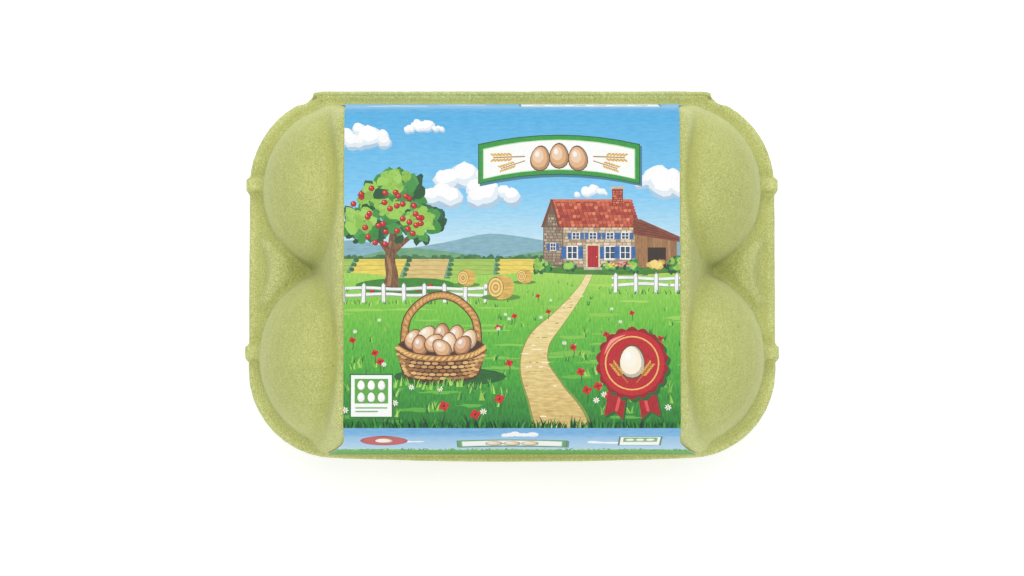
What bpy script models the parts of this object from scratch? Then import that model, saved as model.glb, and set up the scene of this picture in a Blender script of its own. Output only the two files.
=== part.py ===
"""A shut six-egg carton of moulded pulp, with a printed paper wrap over its lid.

Three solids, in metres with +Z up: the tray of six cups that stands on the table, the lid that is
shut over it, and the paper wrap that folds over the lid's raised middle. X runs along the
carton's long side, the front is at -Y and the hinge is at +Y. The origin is at the middle of the
space that the carton takes up on the table.
"""

import math

import bmesh
import bpy

MM = 0.001

# Heights above the table
SEAM_Z = 36 * MM
SEAM_GAP = 0.3 * MM
RIM_THICK = 1.6 * MM
PANEL_Z = 67.4 * MM
LID_RIM_Z = SEAM_Z + SEAM_GAP / 2 + RIM_THICK
TRAY_RIM_Z = SEAM_Z - SEAM_GAP / 2

# Plan of the rim
FRONT_CORNER = (50 * MM, -27 * MM)
FRONT_CORNER_RADIUS = 25 * MM
FRONT_BOW = 1.05 * MM
BACK_CORNER = (48.5 * MM, 26 * MM)
BACK_CORNER_RADIUS = 26.5 * MM
BACK_CORNER_SWEEP = 60
LEDGE_HALF_LENGTH = 54.6 * MM
HINGE_HALF_LENGTH = 55.6 * MM
HINGE_END_X = 57 * MM
HINGE_END_BACK = 0.5 * MM
HINGE_BEND_X = 54 * MM
HINGE_EDGE_Y = 53.05 * MM
HINGE_WIDTH = 1.7 * MM
HINGE_DROP = 2.6 * MM
HINGE_RISE = 2.2 * MM
TRAY_RIM_INSET = 0.5 * MM

# The egg cells: two rows of three
CELL_PITCH = 48 * MM
ROW_BACK_Y = 24.4 * MM
ROW_FRONT_Y = -23.4 * MM
MIDDLE_Y = (ROW_BACK_Y + ROW_FRONT_Y) / 2

# The lid's raised middle, which carries the wrap
BLOCK_MIDDLE_Y = -0.93 * MM
BLOCK_BASE_HALF = (57.3 * MM, 49.85 * MM)
BLOCK_TOP_HALF = (48.7 * MM, 44.7 * MM)
BLOCK_CORNER_RADIUS = 5 * MM
CROWN_RADIUS = 4.2 * MM

# The lid's four domes over the end cells: (middle y, half width along x, half width along y)
DOME_BACK = (ROW_BACK_Y, 23.3 * MM, 24.4 * MM)
DOME_FRONT = (ROW_FRONT_Y, 24.1 * MM, 25.6 * MM)
DOME_TOP_Z = 65.4 * MM
DOME_SINK = 5 * MM
DOME_FULLNESS = 2.3

# The low web between two domes: a brow around a thumb scoop, which falls away to the notch behind it
SCOOP_CENTRE = (81.6 * MM, 1.2 * MM)
WEB_RISE = 5 * MM
WEB_SINK = 0.3 * MM
WEB_SWEEP = 48
WEB_REACH = (11.4 * MM, 25.4 * MM)
BROW_RADIUS = 15 * MM

# The short ribs across the rim, one outside each dome
RIB_BACK_Y = 25.85 * MM
RIB_FRONT_Y = -22.15 * MM
RIB_REACH = (68.5 * MM, 75.9 * MM)
RIB_ROOT = 1.3 * MM
RIB_WIDTH = 4.0 * MM
RIB_RISE = 3.2 * MM
RIB_TAPER = 0.45 * MM
RIB_FLANK_TAPER = 0.2 * MM

# The tray's cups and the wall that joins them under the rim
CUP_RADIUS_FOOT = 13.6 * MM
CUP_RADIUS_TOP = 23.5 * MM
CUP_SQUARENESS = 2.5
CUP_BELLY = 0.72
CUP_FLUTES = 8
CUP_FLUTE_DEPTH = 0.7 * MM
FOOT_RING = (8.2 * MM, 12.2 * MM)
FOOT_RECESS = 1.4 * MM
FOOT_EDGE_RISE = 1.2 * MM
SKIRT_DEPTH = 17 * MM
SKIRT_TOP_HALF = (71.5 * MM, 47.9 * MM)
SKIRT_FOOT_HALF = (67.6 * MM, 44 * MM)
SKIRT_CORNER_RADIUS = 20 * MM

# The vaults between the cups, which leave the skirt's lower edge in arches
VAULT_HALF_WIDTH = 22 * MM
VAULT_FOOT_Z = 15 * MM
VAULT_ROOF_Z = 29.5 * MM
VAULT_SIDES = 20

# The paper wrap
PAPER_THICK = 0.3 * MM
PAPER_GAP = 0.3 * MM
PAPER_HALF_WIDTH = 46.3 * MM
PAPER_FLARE_FRONT = 6 * MM
PAPER_FLARE_BACK = 2.5 * MM
PAPER_HEM_RISE = 1.3 * MM

# Fineness of round shapes
DOME_SIDES = 48
DOME_LEVELS = 11
DOME_TOP_FLAT = 0.4
WEB_STEPS = 16
BROW_STEPS = 5
SLOPE_STEPS = 5
CUP_SIDES = 48
CUP_LEVELS = 7
CORNER_STEPS = 8
SHOULDER_STEPS = 6
BOW_STEPS = 10
CROWN_STEPS = 5
FLAP_STEPS = 7
HINGE_STEPS = 6
SHARP_ANGLE = 35


def clear_scene():
    for obj in list(bpy.data.objects):
        bpy.data.objects.remove(obj, do_unlink=True)


def material(name, colour, roughness):
    """A plain finish for one sub-part."""
    made = bpy.data.materials.new(name)
    made.use_nodes = True
    shader = made.node_tree.nodes["Principled BSDF"]
    shader.inputs["Base Color"].default_value = (*colour, 1.0)
    shader.inputs["Roughness"].default_value = roughness
    shader.inputs["Metallic"].default_value = 0.0
    return made


def arc(centre, radius, start, end, steps):
    """Points on a circle, from one angle to another, in degrees."""
    turn = (end - start) / steps
    angles = [math.radians(start + turn * step) for step in range(steps + 1)]
    return [(centre[0] + radius * math.cos(a), centre[1] + radius * math.sin(a)) for a in angles]


def rounded_rectangle(half, middle_y, radius):
    """Outline of a rectangle with round corners, anticlockwise from above."""
    dx, dy = half[0] - radius, half[1] - radius
    points = []
    for side_x, side_y, start in ((1, -1, -90), (1, 1, 0), (-1, 1, 90), (-1, -1, 180)):
        centre = (side_x * dx, middle_y + side_y * dy)
        points += arc(centre, radius, start, start + 90, CORNER_STEPS)
    return points


def superellipse(centre, half, power, sides):
    """Outline between an ellipse (power 2) and a rectangle (a large power)."""
    return fluted(centre, half, power, sides, 0)


def fluted(centre, half, power, sides, depth):
    """The same outline with shallow grooves of that depth, as a share of its half width."""
    points = []
    for step in range(sides):
        angle = math.tau * step / sides
        c, s = math.cos(angle), math.sin(angle)
        reach = (abs(c) ** power + abs(s) ** power) ** (-1 / power)
        reach -= depth * (1 - math.cos(CUP_FLUTES * angle)) / 2
        points.append((centre[0] + half[0] * reach * c, centre[1] + half[1] * reach * s))
    return points


def loft(name, rings):
    """A closed solid through rings of equally many points, anticlockwise and from bottom to top."""
    bm = bmesh.new()
    loops = [[bm.verts.new(point) for point in ring] for ring in rings]
    count = len(loops[0])
    for low, high in zip(loops, loops[1:]):
        for i in range(count):
            j = (i + 1) % count
            bm.faces.new((low[i], low[j], high[j], high[i]))
    bm.faces.new(list(reversed(loops[0])))
    bm.faces.new(loops[-1])
    bmesh.ops.recalc_face_normals(bm, faces=bm.faces)
    mesh = bpy.data.meshes.new(name)
    bm.to_mesh(mesh)
    bm.free()
    obj = bpy.data.objects.new(name, mesh)
    bpy.context.scene.collection.objects.link(obj)
    return obj


def at_height(outline, z):
    return [(x, y, z) for x, y in outline]


def fuse(name, pieces, finish):
    """Joins overlapping closed pieces into one solid and removes what it was made from."""
    base, *others = pieces
    group = bpy.data.collections.new(name + "_pieces")
    bpy.context.scene.collection.children.link(group)
    for piece in others:
        bpy.context.scene.collection.objects.unlink(piece)
        group.objects.link(piece)
    union = base.modifiers.new("join", "BOOLEAN")
    union.operation = "UNION"
    union.operand_type = "COLLECTION"
    union.collection = group
    union.solver = "EXACT"
    graph = bpy.context.evaluated_depsgraph_get()
    mesh = bpy.data.meshes.new_from_object(base.evaluated_get(graph))
    for piece in pieces:
        bpy.data.objects.remove(piece, do_unlink=True)
    bpy.data.collections.remove(group)
    mesh.name = name
    mesh.materials.clear()
    mesh.materials.append(finish)
    mesh.shade_smooth()
    mesh.set_sharp_from_angle(angle=math.radians(SHARP_ANGLE))
    obj = bpy.data.objects.new(name, mesh)
    bpy.context.scene.collection.objects.link(obj)
    return obj


def cut(body, cutter):
    """Takes the cutter's shape out of body, then removes the cutter."""
    bite = body.modifiers.new("cut", "BOOLEAN")
    bite.operation = "DIFFERENCE"
    bite.solver = "EXACT"
    bite.object = cutter
    graph = bpy.context.evaluated_depsgraph_get()
    mesh = bpy.data.meshes.new_from_object(body.evaluated_get(graph))
    body.modifiers.clear()
    body.data = mesh
    bpy.data.objects.remove(cutter, do_unlink=True)


def ease(share):
    """0 to 1 along an S."""
    return (1 - math.cos(math.pi * share)) / 2


def rim_outline(inset, back_edge, ledge_half):
    """The rim seen from above: round front corners, and a hinge ledge between the back corners."""
    front_r = FRONT_CORNER_RADIUS - inset
    back_r = BACK_CORNER_RADIUS - inset
    front_x, front_y = FRONT_CORNER
    right = arc(FRONT_CORNER, front_r, -90, 0, CORNER_STEPS + 2)
    right += arc(BACK_CORNER, back_r, 0, BACK_CORNER_SWEEP, CORNER_STEPS)
    last_x, last_y = right[-1]
    # The ledge's shoulder is an S between the corner's end and the back edge.
    for step in range(1, SHOULDER_STEPS + 1):
        share = step / SHOULDER_STEPS
        across = last_x + (ledge_half - last_x) * share
        right.append((across, last_y + (back_edge - last_y) * ease(share)))
    left = [(-x, y) for x, y in reversed(right)]
    bow = []
    for step in range(1, BOW_STEPS):
        x = -front_x + 2 * front_x * step / BOW_STEPS
        bow.append((x, front_y - front_r - FRONT_BOW * (1 - (x / front_x) ** 2)))
    return right + left + bow


def lid_rim():
    outline = rim_outline(0, HINGE_EDGE_Y - HINGE_WIDTH - SEAM_GAP, LEDGE_HALF_LENGTH)
    low = LID_RIM_Z - RIM_THICK
    return loft("lid_rim", [at_height(outline, low), at_height(outline, LID_RIM_Z)])


def block_half(z):
    """Half sizes of the raised middle at a height, before its top edge is rounded."""
    share = (z - LID_RIM_Z) / (PANEL_Z - LID_RIM_Z)
    return [base + (top - base) * share for base, top in zip(BLOCK_BASE_HALF, BLOCK_TOP_HALF)]


def wall_lean(axis):
    """How far the raised middle's wall leans in from upright, in radians, across x (0) or y (1)."""
    run = BLOCK_BASE_HALF[axis] - BLOCK_TOP_HALF[axis]
    return math.atan2(run, PANEL_Z - LID_RIM_Z)


def crown(axis, radius, panel_z, half_at_panel):
    """(half size, height) along the round top edge, from the wall to the flat top."""
    lean = wall_lean(axis)
    inward = radius * math.tan((math.pi / 2 - lean) / 2)
    centre = (half_at_panel - inward, panel_z - radius)
    angles = [lean + (math.pi / 2 - lean) * step / CROWN_STEPS for step in range(CROWN_STEPS + 1)]
    return [(centre[0] + radius * math.cos(a), centre[1] + radius * math.sin(a)) for a in angles]


def block():
    """The raised middle: leaning walls, a round top edge and a flat top."""
    floor_z = LID_RIM_Z - RIM_THICK / 2
    across = crown(0, CROWN_RADIUS, PANEL_Z, BLOCK_TOP_HALF[0])
    along = crown(1, CROWN_RADIUS, PANEL_Z, BLOCK_TOP_HALF[1])
    sections = [(block_half(floor_z), floor_z)]
    for (half_x, high_x), (half_y, high_y) in zip(across, along):
        sections.append(((half_x, half_y), (high_x + high_y) / 2))
    rings = []
    for half, z in sections:
        outline = rounded_rectangle(half, BLOCK_MIDDLE_Y, BLOCK_CORNER_RADIUS)
        rings.append(at_height(outline, z))
    return loft("block", rings)


def dome(side, shape):
    """One dome: the upper part of a full, egg-tall round form that is sunk into the rim."""
    middle_y, half_x, half_y = shape
    equator_z = LID_RIM_Z - DOME_SINK
    tall = DOME_TOP_Z - equator_z
    floor_z = LID_RIM_Z - RIM_THICK / 2
    start = math.asin(((floor_z - equator_z) / tall) ** (DOME_FULLNESS / 2))
    rings = []
    for level in range(DOME_LEVELS):
        angle = start + (math.pi / 2 - start) * (level / (DOME_LEVELS - DOME_TOP_FLAT))
        reach = math.cos(angle) ** (2 / DOME_FULLNESS)
        rise = math.sin(angle) ** (2 / DOME_FULLNESS)
        half = (half_x * reach, half_y * reach)
        outline = superellipse((side * CELL_PITCH, middle_y), half, 2, DOME_SIDES)
        rings.append(at_height(outline, equator_z + tall * rise))
    return loft("dome", rings)


def web_profile():
    """(distance from the scoop's centre, share of the rise) over the web, from the scoop inwards."""
    near, far = WEB_REACH
    points = []
    for step in range(BROW_STEPS):
        share = step / BROW_STEPS
        points.append((near + (BROW_RADIUS - near) * share, math.sin(math.pi / 2 * share)))
    for step in range(SLOPE_STEPS + 1):
        share = step / SLOPE_STEPS
        points.append((BROW_RADIUS + (far - BROW_RADIUS) * share, 1 - ease(share)))
    return points


def web(side):
    """The low web between two domes, lower towards them than in its middle."""
    floor_z = LID_RIM_Z - RIM_THICK / 2
    middle_x, middle_y = SCOOP_CENTRE
    profile = web_profile()
    rings = []
    for step in range(WEB_STEPS + 1):
        share = 2 * step / WEB_STEPS - 1
        turn = math.radians(WEB_SWEEP * share)
        rise = (WEB_RISE + WEB_SINK) * math.cos(math.pi / 2 * share)
        ring = [(reach, LID_RIM_Z - WEB_SINK + rise * part) for reach, part in reversed(profile)]
        ring += [(reach, floor_z) for reach in WEB_REACH]
        rings.append([
            (side * (middle_x - reach * math.cos(turn)), middle_y + reach * math.sin(turn), z)
            for reach, z in ring
        ])
    return loft("web", rings)


def rib(side, row_y):
    """A short raised bar from a dome's foot across the rim, just past its edge."""
    low, high = LID_RIM_Z - RIB_ROOT, LID_RIM_Z + RIB_RISE
    inner, outer = RIB_REACH
    rings = []
    for z, taper in ((low, 0), (high - RIB_TAPER, RIB_FLANK_TAPER), (high, RIB_TAPER)):
        xs = sorted((side * (inner + taper), side * (outer - taper)))
        half = RIB_WIDTH / 2 - taper
        corners = ((xs[0], -half), (xs[1], -half), (xs[1], half), (xs[0], half))
        rings.append([(x, row_y + y, z) for x, y in corners])
    return loft("rib", rings)


def lid(finish):
    pieces = [lid_rim(), block()]
    for side in (-1, 1):
        pieces += [dome(side, DOME_BACK), dome(side, DOME_FRONT), web(side)]
        pieces += [rib(side, RIB_BACK_Y), rib(side, RIB_FRONT_Y)]
    return fuse("lid", pieces, finish)


def tray_rim():
    outline = rim_outline(TRAY_RIM_INSET, HINGE_EDGE_Y - HINGE_WIDTH / 2, HINGE_HALF_LENGTH)
    low = TRAY_RIM_Z - RIM_THICK
    return loft("tray_rim", [at_height(outline, low), at_height(outline, TRAY_RIM_Z)])


def hinge():
    """The folded strip along the back that joins tray and lid, standing a little above the rim."""
    radius = HINGE_WIDTH / 2
    low, high = TRAY_RIM_Z - HINGE_DROP, LID_RIM_Z - RIM_THICK + HINGE_RISE
    profile = arc((HINGE_EDGE_Y - radius, high - radius), radius, 0, 180, HINGE_STEPS)
    profile += arc((HINGE_EDGE_Y - radius, low + radius), radius, 180, 360, HINGE_STEPS)
    stations = []
    for step in range(SHOULDER_STEPS + 1):
        share = 1 - step / SHOULDER_STEPS
        x = HINGE_BEND_X + (HINGE_END_X - HINGE_BEND_X) * share
        stations.append((-x, HINGE_END_BACK * share**2))
    stations += [(-x, back) for x, back in reversed(stations)]
    rings = [[(x, y - back, z) for y, z in profile] for x, back in stations]
    return loft("hinge", rings)


def vault(along, across):
    """A long cutter with an arched roof, along x or y, that runs between two rows of cups."""
    tall = VAULT_ROOF_Z - VAULT_FOOT_Z
    profile = []
    for step in range(VAULT_SIDES + 1):
        angle = math.pi * step / VAULT_SIDES
        out = VAULT_HALF_WIDTH * math.cos(angle)
        profile.append((across + out, VAULT_FOOT_Z + tall * math.sin(angle)))
    rings = []
    for end in (-2 * CELL_PITCH, 2 * CELL_PITCH):
        if along == "x":
            rings.append([(end, out, up) for out, up in profile])
        else:
            rings.append([(out, end, up) for out, up in profile])
    return loft("vault", rings)


def skirt():
    """The wall under the tray's rim, which joins the six cups, arched between them."""
    top_z = TRAY_RIM_Z - RIM_THICK / 2
    rings = []
    for half, z in ((SKIRT_FOOT_HALF, top_z - SKIRT_DEPTH), (SKIRT_TOP_HALF, top_z)):
        rings.append(at_height(rounded_rectangle(half, MIDDLE_Y, SKIRT_CORNER_RADIUS), z))
    wall = loft("skirt", rings)
    cut(wall, vault("x", MIDDLE_Y))
    cut(wall, vault("y", CELL_PITCH / 2))
    cut(wall, vault("y", -CELL_PITCH / 2))
    return wall


def cup(x, y):
    """One fluted cup, rounder and narrower towards its foot, which is a flat ring."""
    inner, outer = FOOT_RING
    rings = []
    for radius, z in ((inner - FOOT_RECESS / 2, FOOT_RECESS), (inner, 0), (outer, 0)):
        rings.append(at_height(superellipse((x, y), (radius, radius), 2, CUP_SIDES), z))
    top_z = TRAY_RIM_Z - RIM_THICK / 2
    for level in range(CUP_LEVELS):
        share = level / (CUP_LEVELS - 1)
        z = FOOT_EDGE_RISE + (top_z - FOOT_EDGE_RISE) * share
        radius = CUP_RADIUS_FOOT + (CUP_RADIUS_TOP - CUP_RADIUS_FOOT) * share**CUP_BELLY
        power = 2 + (CUP_SQUARENESS - 2) * share
        flute = CUP_FLUTE_DEPTH / radius * math.sin(math.pi * share)
        rings.append(at_height(fluted((x, y), (radius, radius), power, CUP_SIDES, flute), z))
    return loft("cup", rings)


def tray(finish):
    pieces = [tray_rim(), skirt(), hinge()]
    for column in (-1, 0, 1):
        pieces += [cup(column * CELL_PITCH, ROW_BACK_Y), cup(column * CELL_PITCH, ROW_FRONT_Y)]
    return fuse("tray", pieces, finish)


def wrap_profile(lift):
    """(y, z, share down the flap) along the wrap, lifted off the lid, from front hem to back hem."""
    lean = wall_lean(1)
    panel_z = PANEL_Z + lift
    half_at_panel = BLOCK_TOP_HALF[1] + lift * math.tan((math.pi / 2 - lean) / 2)
    edge = crown(1, CROWN_RADIUS + lift, panel_z, half_at_panel)
    wall_half, wall_z = edge[0]
    hem_z = LID_RIM_Z + PAPER_HEM_RISE
    flap = []
    for step in range(FLAP_STEPS):
        share = 1 - step / FLAP_STEPS
        z = wall_z + (hem_z - wall_z) * share
        flap.append((wall_half + (wall_z - z) * math.tan(lean), z, share))
    half_side = flap + [(half, z, 0) for half, z in edge]
    front = [(BLOCK_MIDDLE_Y - half, z, -share) for half, z, share in half_side]
    back = [(BLOCK_MIDDLE_Y + half, z, share) for half, z, share in reversed(half_side)]
    return front + back


def wrap(finish):
    """The printed paper: down the lid's front, over its top and down its back."""
    inner = wrap_profile(PAPER_GAP)
    outer = wrap_profile(PAPER_GAP + PAPER_THICK)
    rings = []
    for (y_in, z_in, share), (y_out, z_out, _) in zip(inner, outer):
        flare = PAPER_FLARE_BACK if share > 0 else PAPER_FLARE_FRONT
        half = PAPER_HALF_WIDTH + flare * share**2
        rings.append(
            [(-half, y_in, z_in), (half, y_in, z_in), (half, y_out, z_out), (-half, y_out, z_out)]
        )
    obj = loft("wrap", rings)
    obj.data.materials.append(finish)
    return obj


def main():
    clear_scene()
    pulp = material("pulp", (0.56, 0.60, 0.22), 0.95)
    paper = material("printed_paper", (0.30, 0.60, 0.75), 0.4)
    tray(pulp)
    lid(pulp)
    wrap(paper)


main()
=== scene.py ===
"""The looks of a shut six-egg carton: soft moulded pulp, and a printed paper wrap over its lid.

Everything is in metres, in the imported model's own frame. The print is drawn flat first, in
millimetres across (u) and along (v) the paper, and is folded over the lid with it.
"""

import math
import random

import bpy
import numpy as np
from bpy.props import FloatProperty, FloatVectorProperty, IntProperty, PointerProperty
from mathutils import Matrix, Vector, noise
from mathutils.geometry import delaunay_2d_cdt


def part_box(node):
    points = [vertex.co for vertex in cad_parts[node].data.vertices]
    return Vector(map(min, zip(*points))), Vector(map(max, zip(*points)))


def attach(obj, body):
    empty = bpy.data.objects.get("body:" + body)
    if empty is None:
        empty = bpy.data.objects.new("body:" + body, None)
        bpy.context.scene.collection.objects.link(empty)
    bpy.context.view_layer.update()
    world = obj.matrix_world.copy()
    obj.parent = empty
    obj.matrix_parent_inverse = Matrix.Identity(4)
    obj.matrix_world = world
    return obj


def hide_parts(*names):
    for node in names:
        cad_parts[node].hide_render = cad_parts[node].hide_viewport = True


bl_info = {
    "name": "Egg Carton",
    "version": (1, 0, 0),
    "blender": (4, 5, 0),
    "location": "View3D > Sidebar > Egg Carton",
    "description": "Makes a shut carton of moulded pulp with a printed paper wrap",
    "category": "Object",
}

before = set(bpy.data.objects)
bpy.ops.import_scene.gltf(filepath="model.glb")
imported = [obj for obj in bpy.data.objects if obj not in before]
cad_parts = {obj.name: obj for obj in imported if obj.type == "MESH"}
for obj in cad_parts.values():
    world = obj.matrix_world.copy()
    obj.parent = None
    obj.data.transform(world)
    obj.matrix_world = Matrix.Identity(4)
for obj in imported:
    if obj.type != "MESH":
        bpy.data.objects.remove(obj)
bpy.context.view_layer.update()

MM = 0.001
WRAP_LOW, WRAP_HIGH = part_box("wrap")
LID_LOW, LID_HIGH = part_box("lid")
TRAY_LOW, TRAY_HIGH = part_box("tray")
SEAM_Z = LID_LOW.z
SEAM_GAP = 0.3 * MM
RIM_THICK = 1.6 * MM

# The strip of pulp along the back that lid and hinge share: half its length, how far it starts inside
# the lid's back edge, how far it reaches behind it, how far it stands over the rim at its back, and how
# far its front edge lies under the rim's top
FOLD_HALF_LENGTH = 56.0 * MM
FOLD_START = 1.3 * MM
FOLD_REACH = 1.2 * MM
FOLD_RISE = 0.45 * MM
FOLD_DIP = 0.05 * MM

# How far a crest stands out of the form smoothed round it where its painted highlight is strongest
RELIEF_DEPTH = 0.36 * MM
RELIEF_PASSES = 26

# The lid keeps the edges of its rim and ribs up to the first height above the rim, and the tray keeps
# those of its rim down to the second one below it
RIB_ZONE = 3.9 * MM
TRAY_RIM_ZONE = 0.5 * MM

# Points nearer than this are one, and faces nearer than this to the seam are part of it
MERGE_REACH = 0.01 * MM
SEAM_REACH = 0.5 * MM

# The grain, in patches a metre: fine specks, coarse grain, blotches, broad patches and rare flecks
SPECK_SCALE = 2800.0
COARSE_SCALE = 1500.0
BLOTCH_SCALE = 210.0
BROAD_SCALE = 42.0
FLECK_SCALE = 190.0
FIBRE_SCALES = (2400.0, 420.0, 900.0)
FIBRE_TURNS = (0.4, 1.5, 2.6)

# Painted light on rim, webs and notch, by height around the seam; lighter domes, by distance from the middle
# across them
RIM_LIGHT_FROM = SEAM_Z - 6 * MM
RIM_LIGHT_FADES = SEAM_Z + 5 * MM
RIM_LIGHT_TO = SEAM_Z + 16 * MM
LIGHTER_FROM = 49 * MM
LIGHTER_PEAK = 52 * MM
LIGHTER_TO = 63 * MM

# The paper, in millimetres: how far its outer face lies inside its box before it waves, the radius of
# its bends, and how much each half of it widens down a flap. The picture reaches past both its sides.
PAPER_INSET = 0.16
CROWN_RADIUS = 4.6
FLARE_FRONT = 6.0
FLARE_BACK = 2.5
BEND_STEPS = 8
SHEET_REACH = 56.0
WALL_LEAN = math.radians(9.85)

# The stage, in metres: the floor lies just under the feet, and the camera looks at the carton's middle
FLOOR_SIZE = 6.0
FLOOR_Z = -0.05 * MM
CAMERA_AIM = Vector((0, -3.45 * MM, 36 * MM))

# How a shape's streaks lie on the sheet
ACROSS = 0.0
MOTTLED = 0.5
ALONG = 1.0

# Inks, 0 to 255
WHITE = (251, 252, 251)
BLACK = (20, 20, 20)
SKY = ((41, (78, 172, 224)), (22, (116, 194, 238)), (4, (208, 232, 240)))
SKY_STREAK = ((41, (92, 182, 230)), (22, (132, 203, 241)), (4, (222, 238, 242)))
CLOUD = (226, 236, 244)
CLOUD_SHADE = (172, 200, 222)
FAR_HILL = (122, 168, 182)
NEAR_HILL = (98, 152, 116)
HEDGE = (52, 112, 62)
FIELD_YELLOW = (242, 220, 98)
FIELD_GREEN = (164, 208, 92)
FIELD_TAN = (226, 200, 130)
LEAF_DARK = (22, 84, 42)
LEAF = (52, 142, 54)
LEAF_LIGHT = (150, 204, 78)
BLADES = ((60, 150, 50), (122, 196, 62), (36, 116, 44), (168, 218, 84))
FRONT_BLADES = ((18, 84, 36), (34, 112, 42), (62, 150, 50), (12, 62, 30))
STONES = ((222, 202, 166), (204, 180, 142), (236, 220, 190), (182, 156, 122), (210, 190, 160))
STONES_SHADE = ((166, 146, 120), (148, 126, 104), (182, 162, 136))
MORTAR = (150, 128, 102)
MORTAR_SHADE = (112, 94, 78)
TILES = ((206, 88, 56), (184, 68, 44), (226, 118, 78), (168, 58, 40))
TILE_DARK = (122, 40, 30)
WICKER = (206, 152, 84)
WICKER_DARK = (160, 106, 54)
WICKER_LIGHT = (230, 184, 112)
WICKER_LINE = (84, 50, 26)
EGG_TONES = ((226, 176, 128), (240, 206, 166), (206, 148, 102))
EGG_LINE = (104, 66, 44)
PALE_EGG = (250, 238, 214)
WHITE_EGG = (252, 252, 246)
APPLE_EDGE = (120, 16, 22)
APPLE = (214, 36, 38)
APPLE_SHADE = (190, 24, 32)
BARK = (142, 102, 66)
BARK_DARK = (92, 62, 42)
SILK_EDGE = (158, 14, 28)
SILK = (206, 30, 42)
SILK_SHADE = (184, 20, 34)
PANEL_EDGE = (40, 116, 48)
PANEL = (96, 178, 62)
PANEL_SHADE = (84, 166, 56)
PANEL_LINE = (60, 130, 44)

# The painted way, from the front to the house: its middle line and how wide it is there
WAY = (
    (13, -52), (13.4, -43), (9.6, -34.5), (6.2, -26.5), (7.4, -19.5), (12.4, -13.6), (16.6, -8.6),
    (19.8, -4.0), (22.2, 0.9))
WAY_WIDTHS = (20, 16.5, 11.5, 8.6, 6.6, 4.4, 3.0, 2.0, 1.7)


def rgb(red, green, blue):
    """A colour as it looks on paper, 0 to 255, as the linear values that a shader takes."""
    linear = []
    for value in (red, green, blue):
        share = value / 255
        linear.append(share / 12.92 if share <= 0.04045 else ((share + 0.055) / 1.055) ** 2.4)
    return tuple(linear)


class PulpSettings(bpy.types.PropertyGroup):
    """The moulded pulp of the lid and the tray."""

    colour: FloatVectorProperty(
        name="Pulp", description="Main colour of the dyed pulp", subtype="COLOR", size=3, min=0, max=1,
        default=rgb(192, 197, 112))
    shade: FloatVectorProperty(
        name="Pulp shade", description="Colour of the darker fibres", subtype="COLOR", size=3, min=0,
        max=1, default=rgb(162, 167, 92))
    fleck: FloatVectorProperty(
        name="Fleck", description="Colour of the rare dark specks", subtype="COLOR", size=3, min=0,
        max=1, default=rgb(112, 112, 66))
    lid_cell: FloatProperty(
        name="Lid cell", description="Size of the lid's mesh cells", unit="LENGTH", default=0.62 * MM,
        min=0.3 * MM)
    tray_cell: FloatProperty(
        name="Tray cell", description="Size of the tray's mesh cells", unit="LENGTH",
        default=0.72 * MM, min=0.3 * MM)
    softness: IntProperty(
        name="Softness", description="Passes that round the moulded creases", default=5, min=0)
    edge_softness: FloatProperty(
        name="Edge softness", description="How much of that the rim's edge takes", default=0.2, min=0,
        max=1)
    # Painted highlight colour: the crests, the painted light on rim and webs, and the lighter domes mix
    # towards it
    highlight_colour: FloatVectorProperty(
        name="Crest colour", description="Colour of the highlighted crests", subtype="COLOR", size=3, min=0,
        max=1, default=rgb(234, 238, 168))
    # Painted highlight: how much lighter the crests are made, standing in for the light on them
    crest: FloatProperty(
        name="Crest", description="How light the pulp is on its crests", default=0.8, min=0, max=1)
    # Painted light: how much the rim, webs and notch are lightened, which lifts the shade that falls there
    rim_painted_light: FloatProperty(
        name="Rim lightness", description="How much lighter the loosely pressed rim and webs are",
        default=0.46, min=0, max=1)
    # How much lighter the domes are made beside the raised middle
    lightened: FloatProperty(
        name="Inward lightness", description="How much lighter the domes dried beside the raised middle",
        default=0.3, min=0, max=1)
    unevenness: FloatProperty(
        name="Unevenness", description="How far the dried pulp strays from its mould", unit="LENGTH",
        default=0.22 * MM, min=0)


class PaperSettings(bpy.types.PropertyGroup):
    """The printed paper wrap."""

    thickness: FloatProperty(
        name="Thickness", description="Thickness of the paper", unit="LENGTH", default=0.14 * MM,
        min=0.05 * MM)
    waviness: FloatProperty(
        name="Waviness", description="How far the paper lifts and sinks", unit="LENGTH",
        default=0.07 * MM, min=0)
    cell: FloatProperty(
        name="Cell", description="Distance between the sheet's free points", unit="LENGTH",
        default=3.2 * MM, min=1 * MM)
    seed: IntProperty(name="Seed", description="Picks the brush strokes' small differences", default=7)


class StageSettings(bpy.types.PropertyGroup):
    """The floor, the lights and the camera."""

    tilt: FloatProperty(
        name="Camera tilt", description="Angle of the view from straight down", unit="ROTATION",
        default=math.radians(4.1))
    distance: FloatProperty(
        name="Camera distance", description="From the camera to the carton's middle", unit="LENGTH",
        default=0.87)
    lens: FloatProperty(
        name="Lens", description="Focal length on a 36 mm sensor", unit="CAMERA", default=107.05)
    key: FloatProperty(
        name="Main light", description="Power of the large soft light, in watts", default=5.6)
    back: FloatProperty(name="Back light", description="Its share of the main light", default=1.0)
    front: FloatProperty(name="Front light", description="Its share of the main light", default=0.8)
    sky: FloatProperty(name="Room light", description="Strength of the light all round", default=0.43)


def pick(obj):
    """Leaves obj as the only selected object, and the active one."""
    bpy.ops.object.select_all(action="DESELECT")
    obj.select_set(True)
    bpy.context.view_layer.objects.active = obj


def apply_modifier(obj, kind, **settings):
    """Adds one modifier with these settings and applies it."""
    made = obj.modifiers.new(kind.lower(), kind)
    for name, value in settings.items():
        setattr(made, name, value)
    pick(obj)
    bpy.ops.object.modifier_apply(modifier=made.name)


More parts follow.
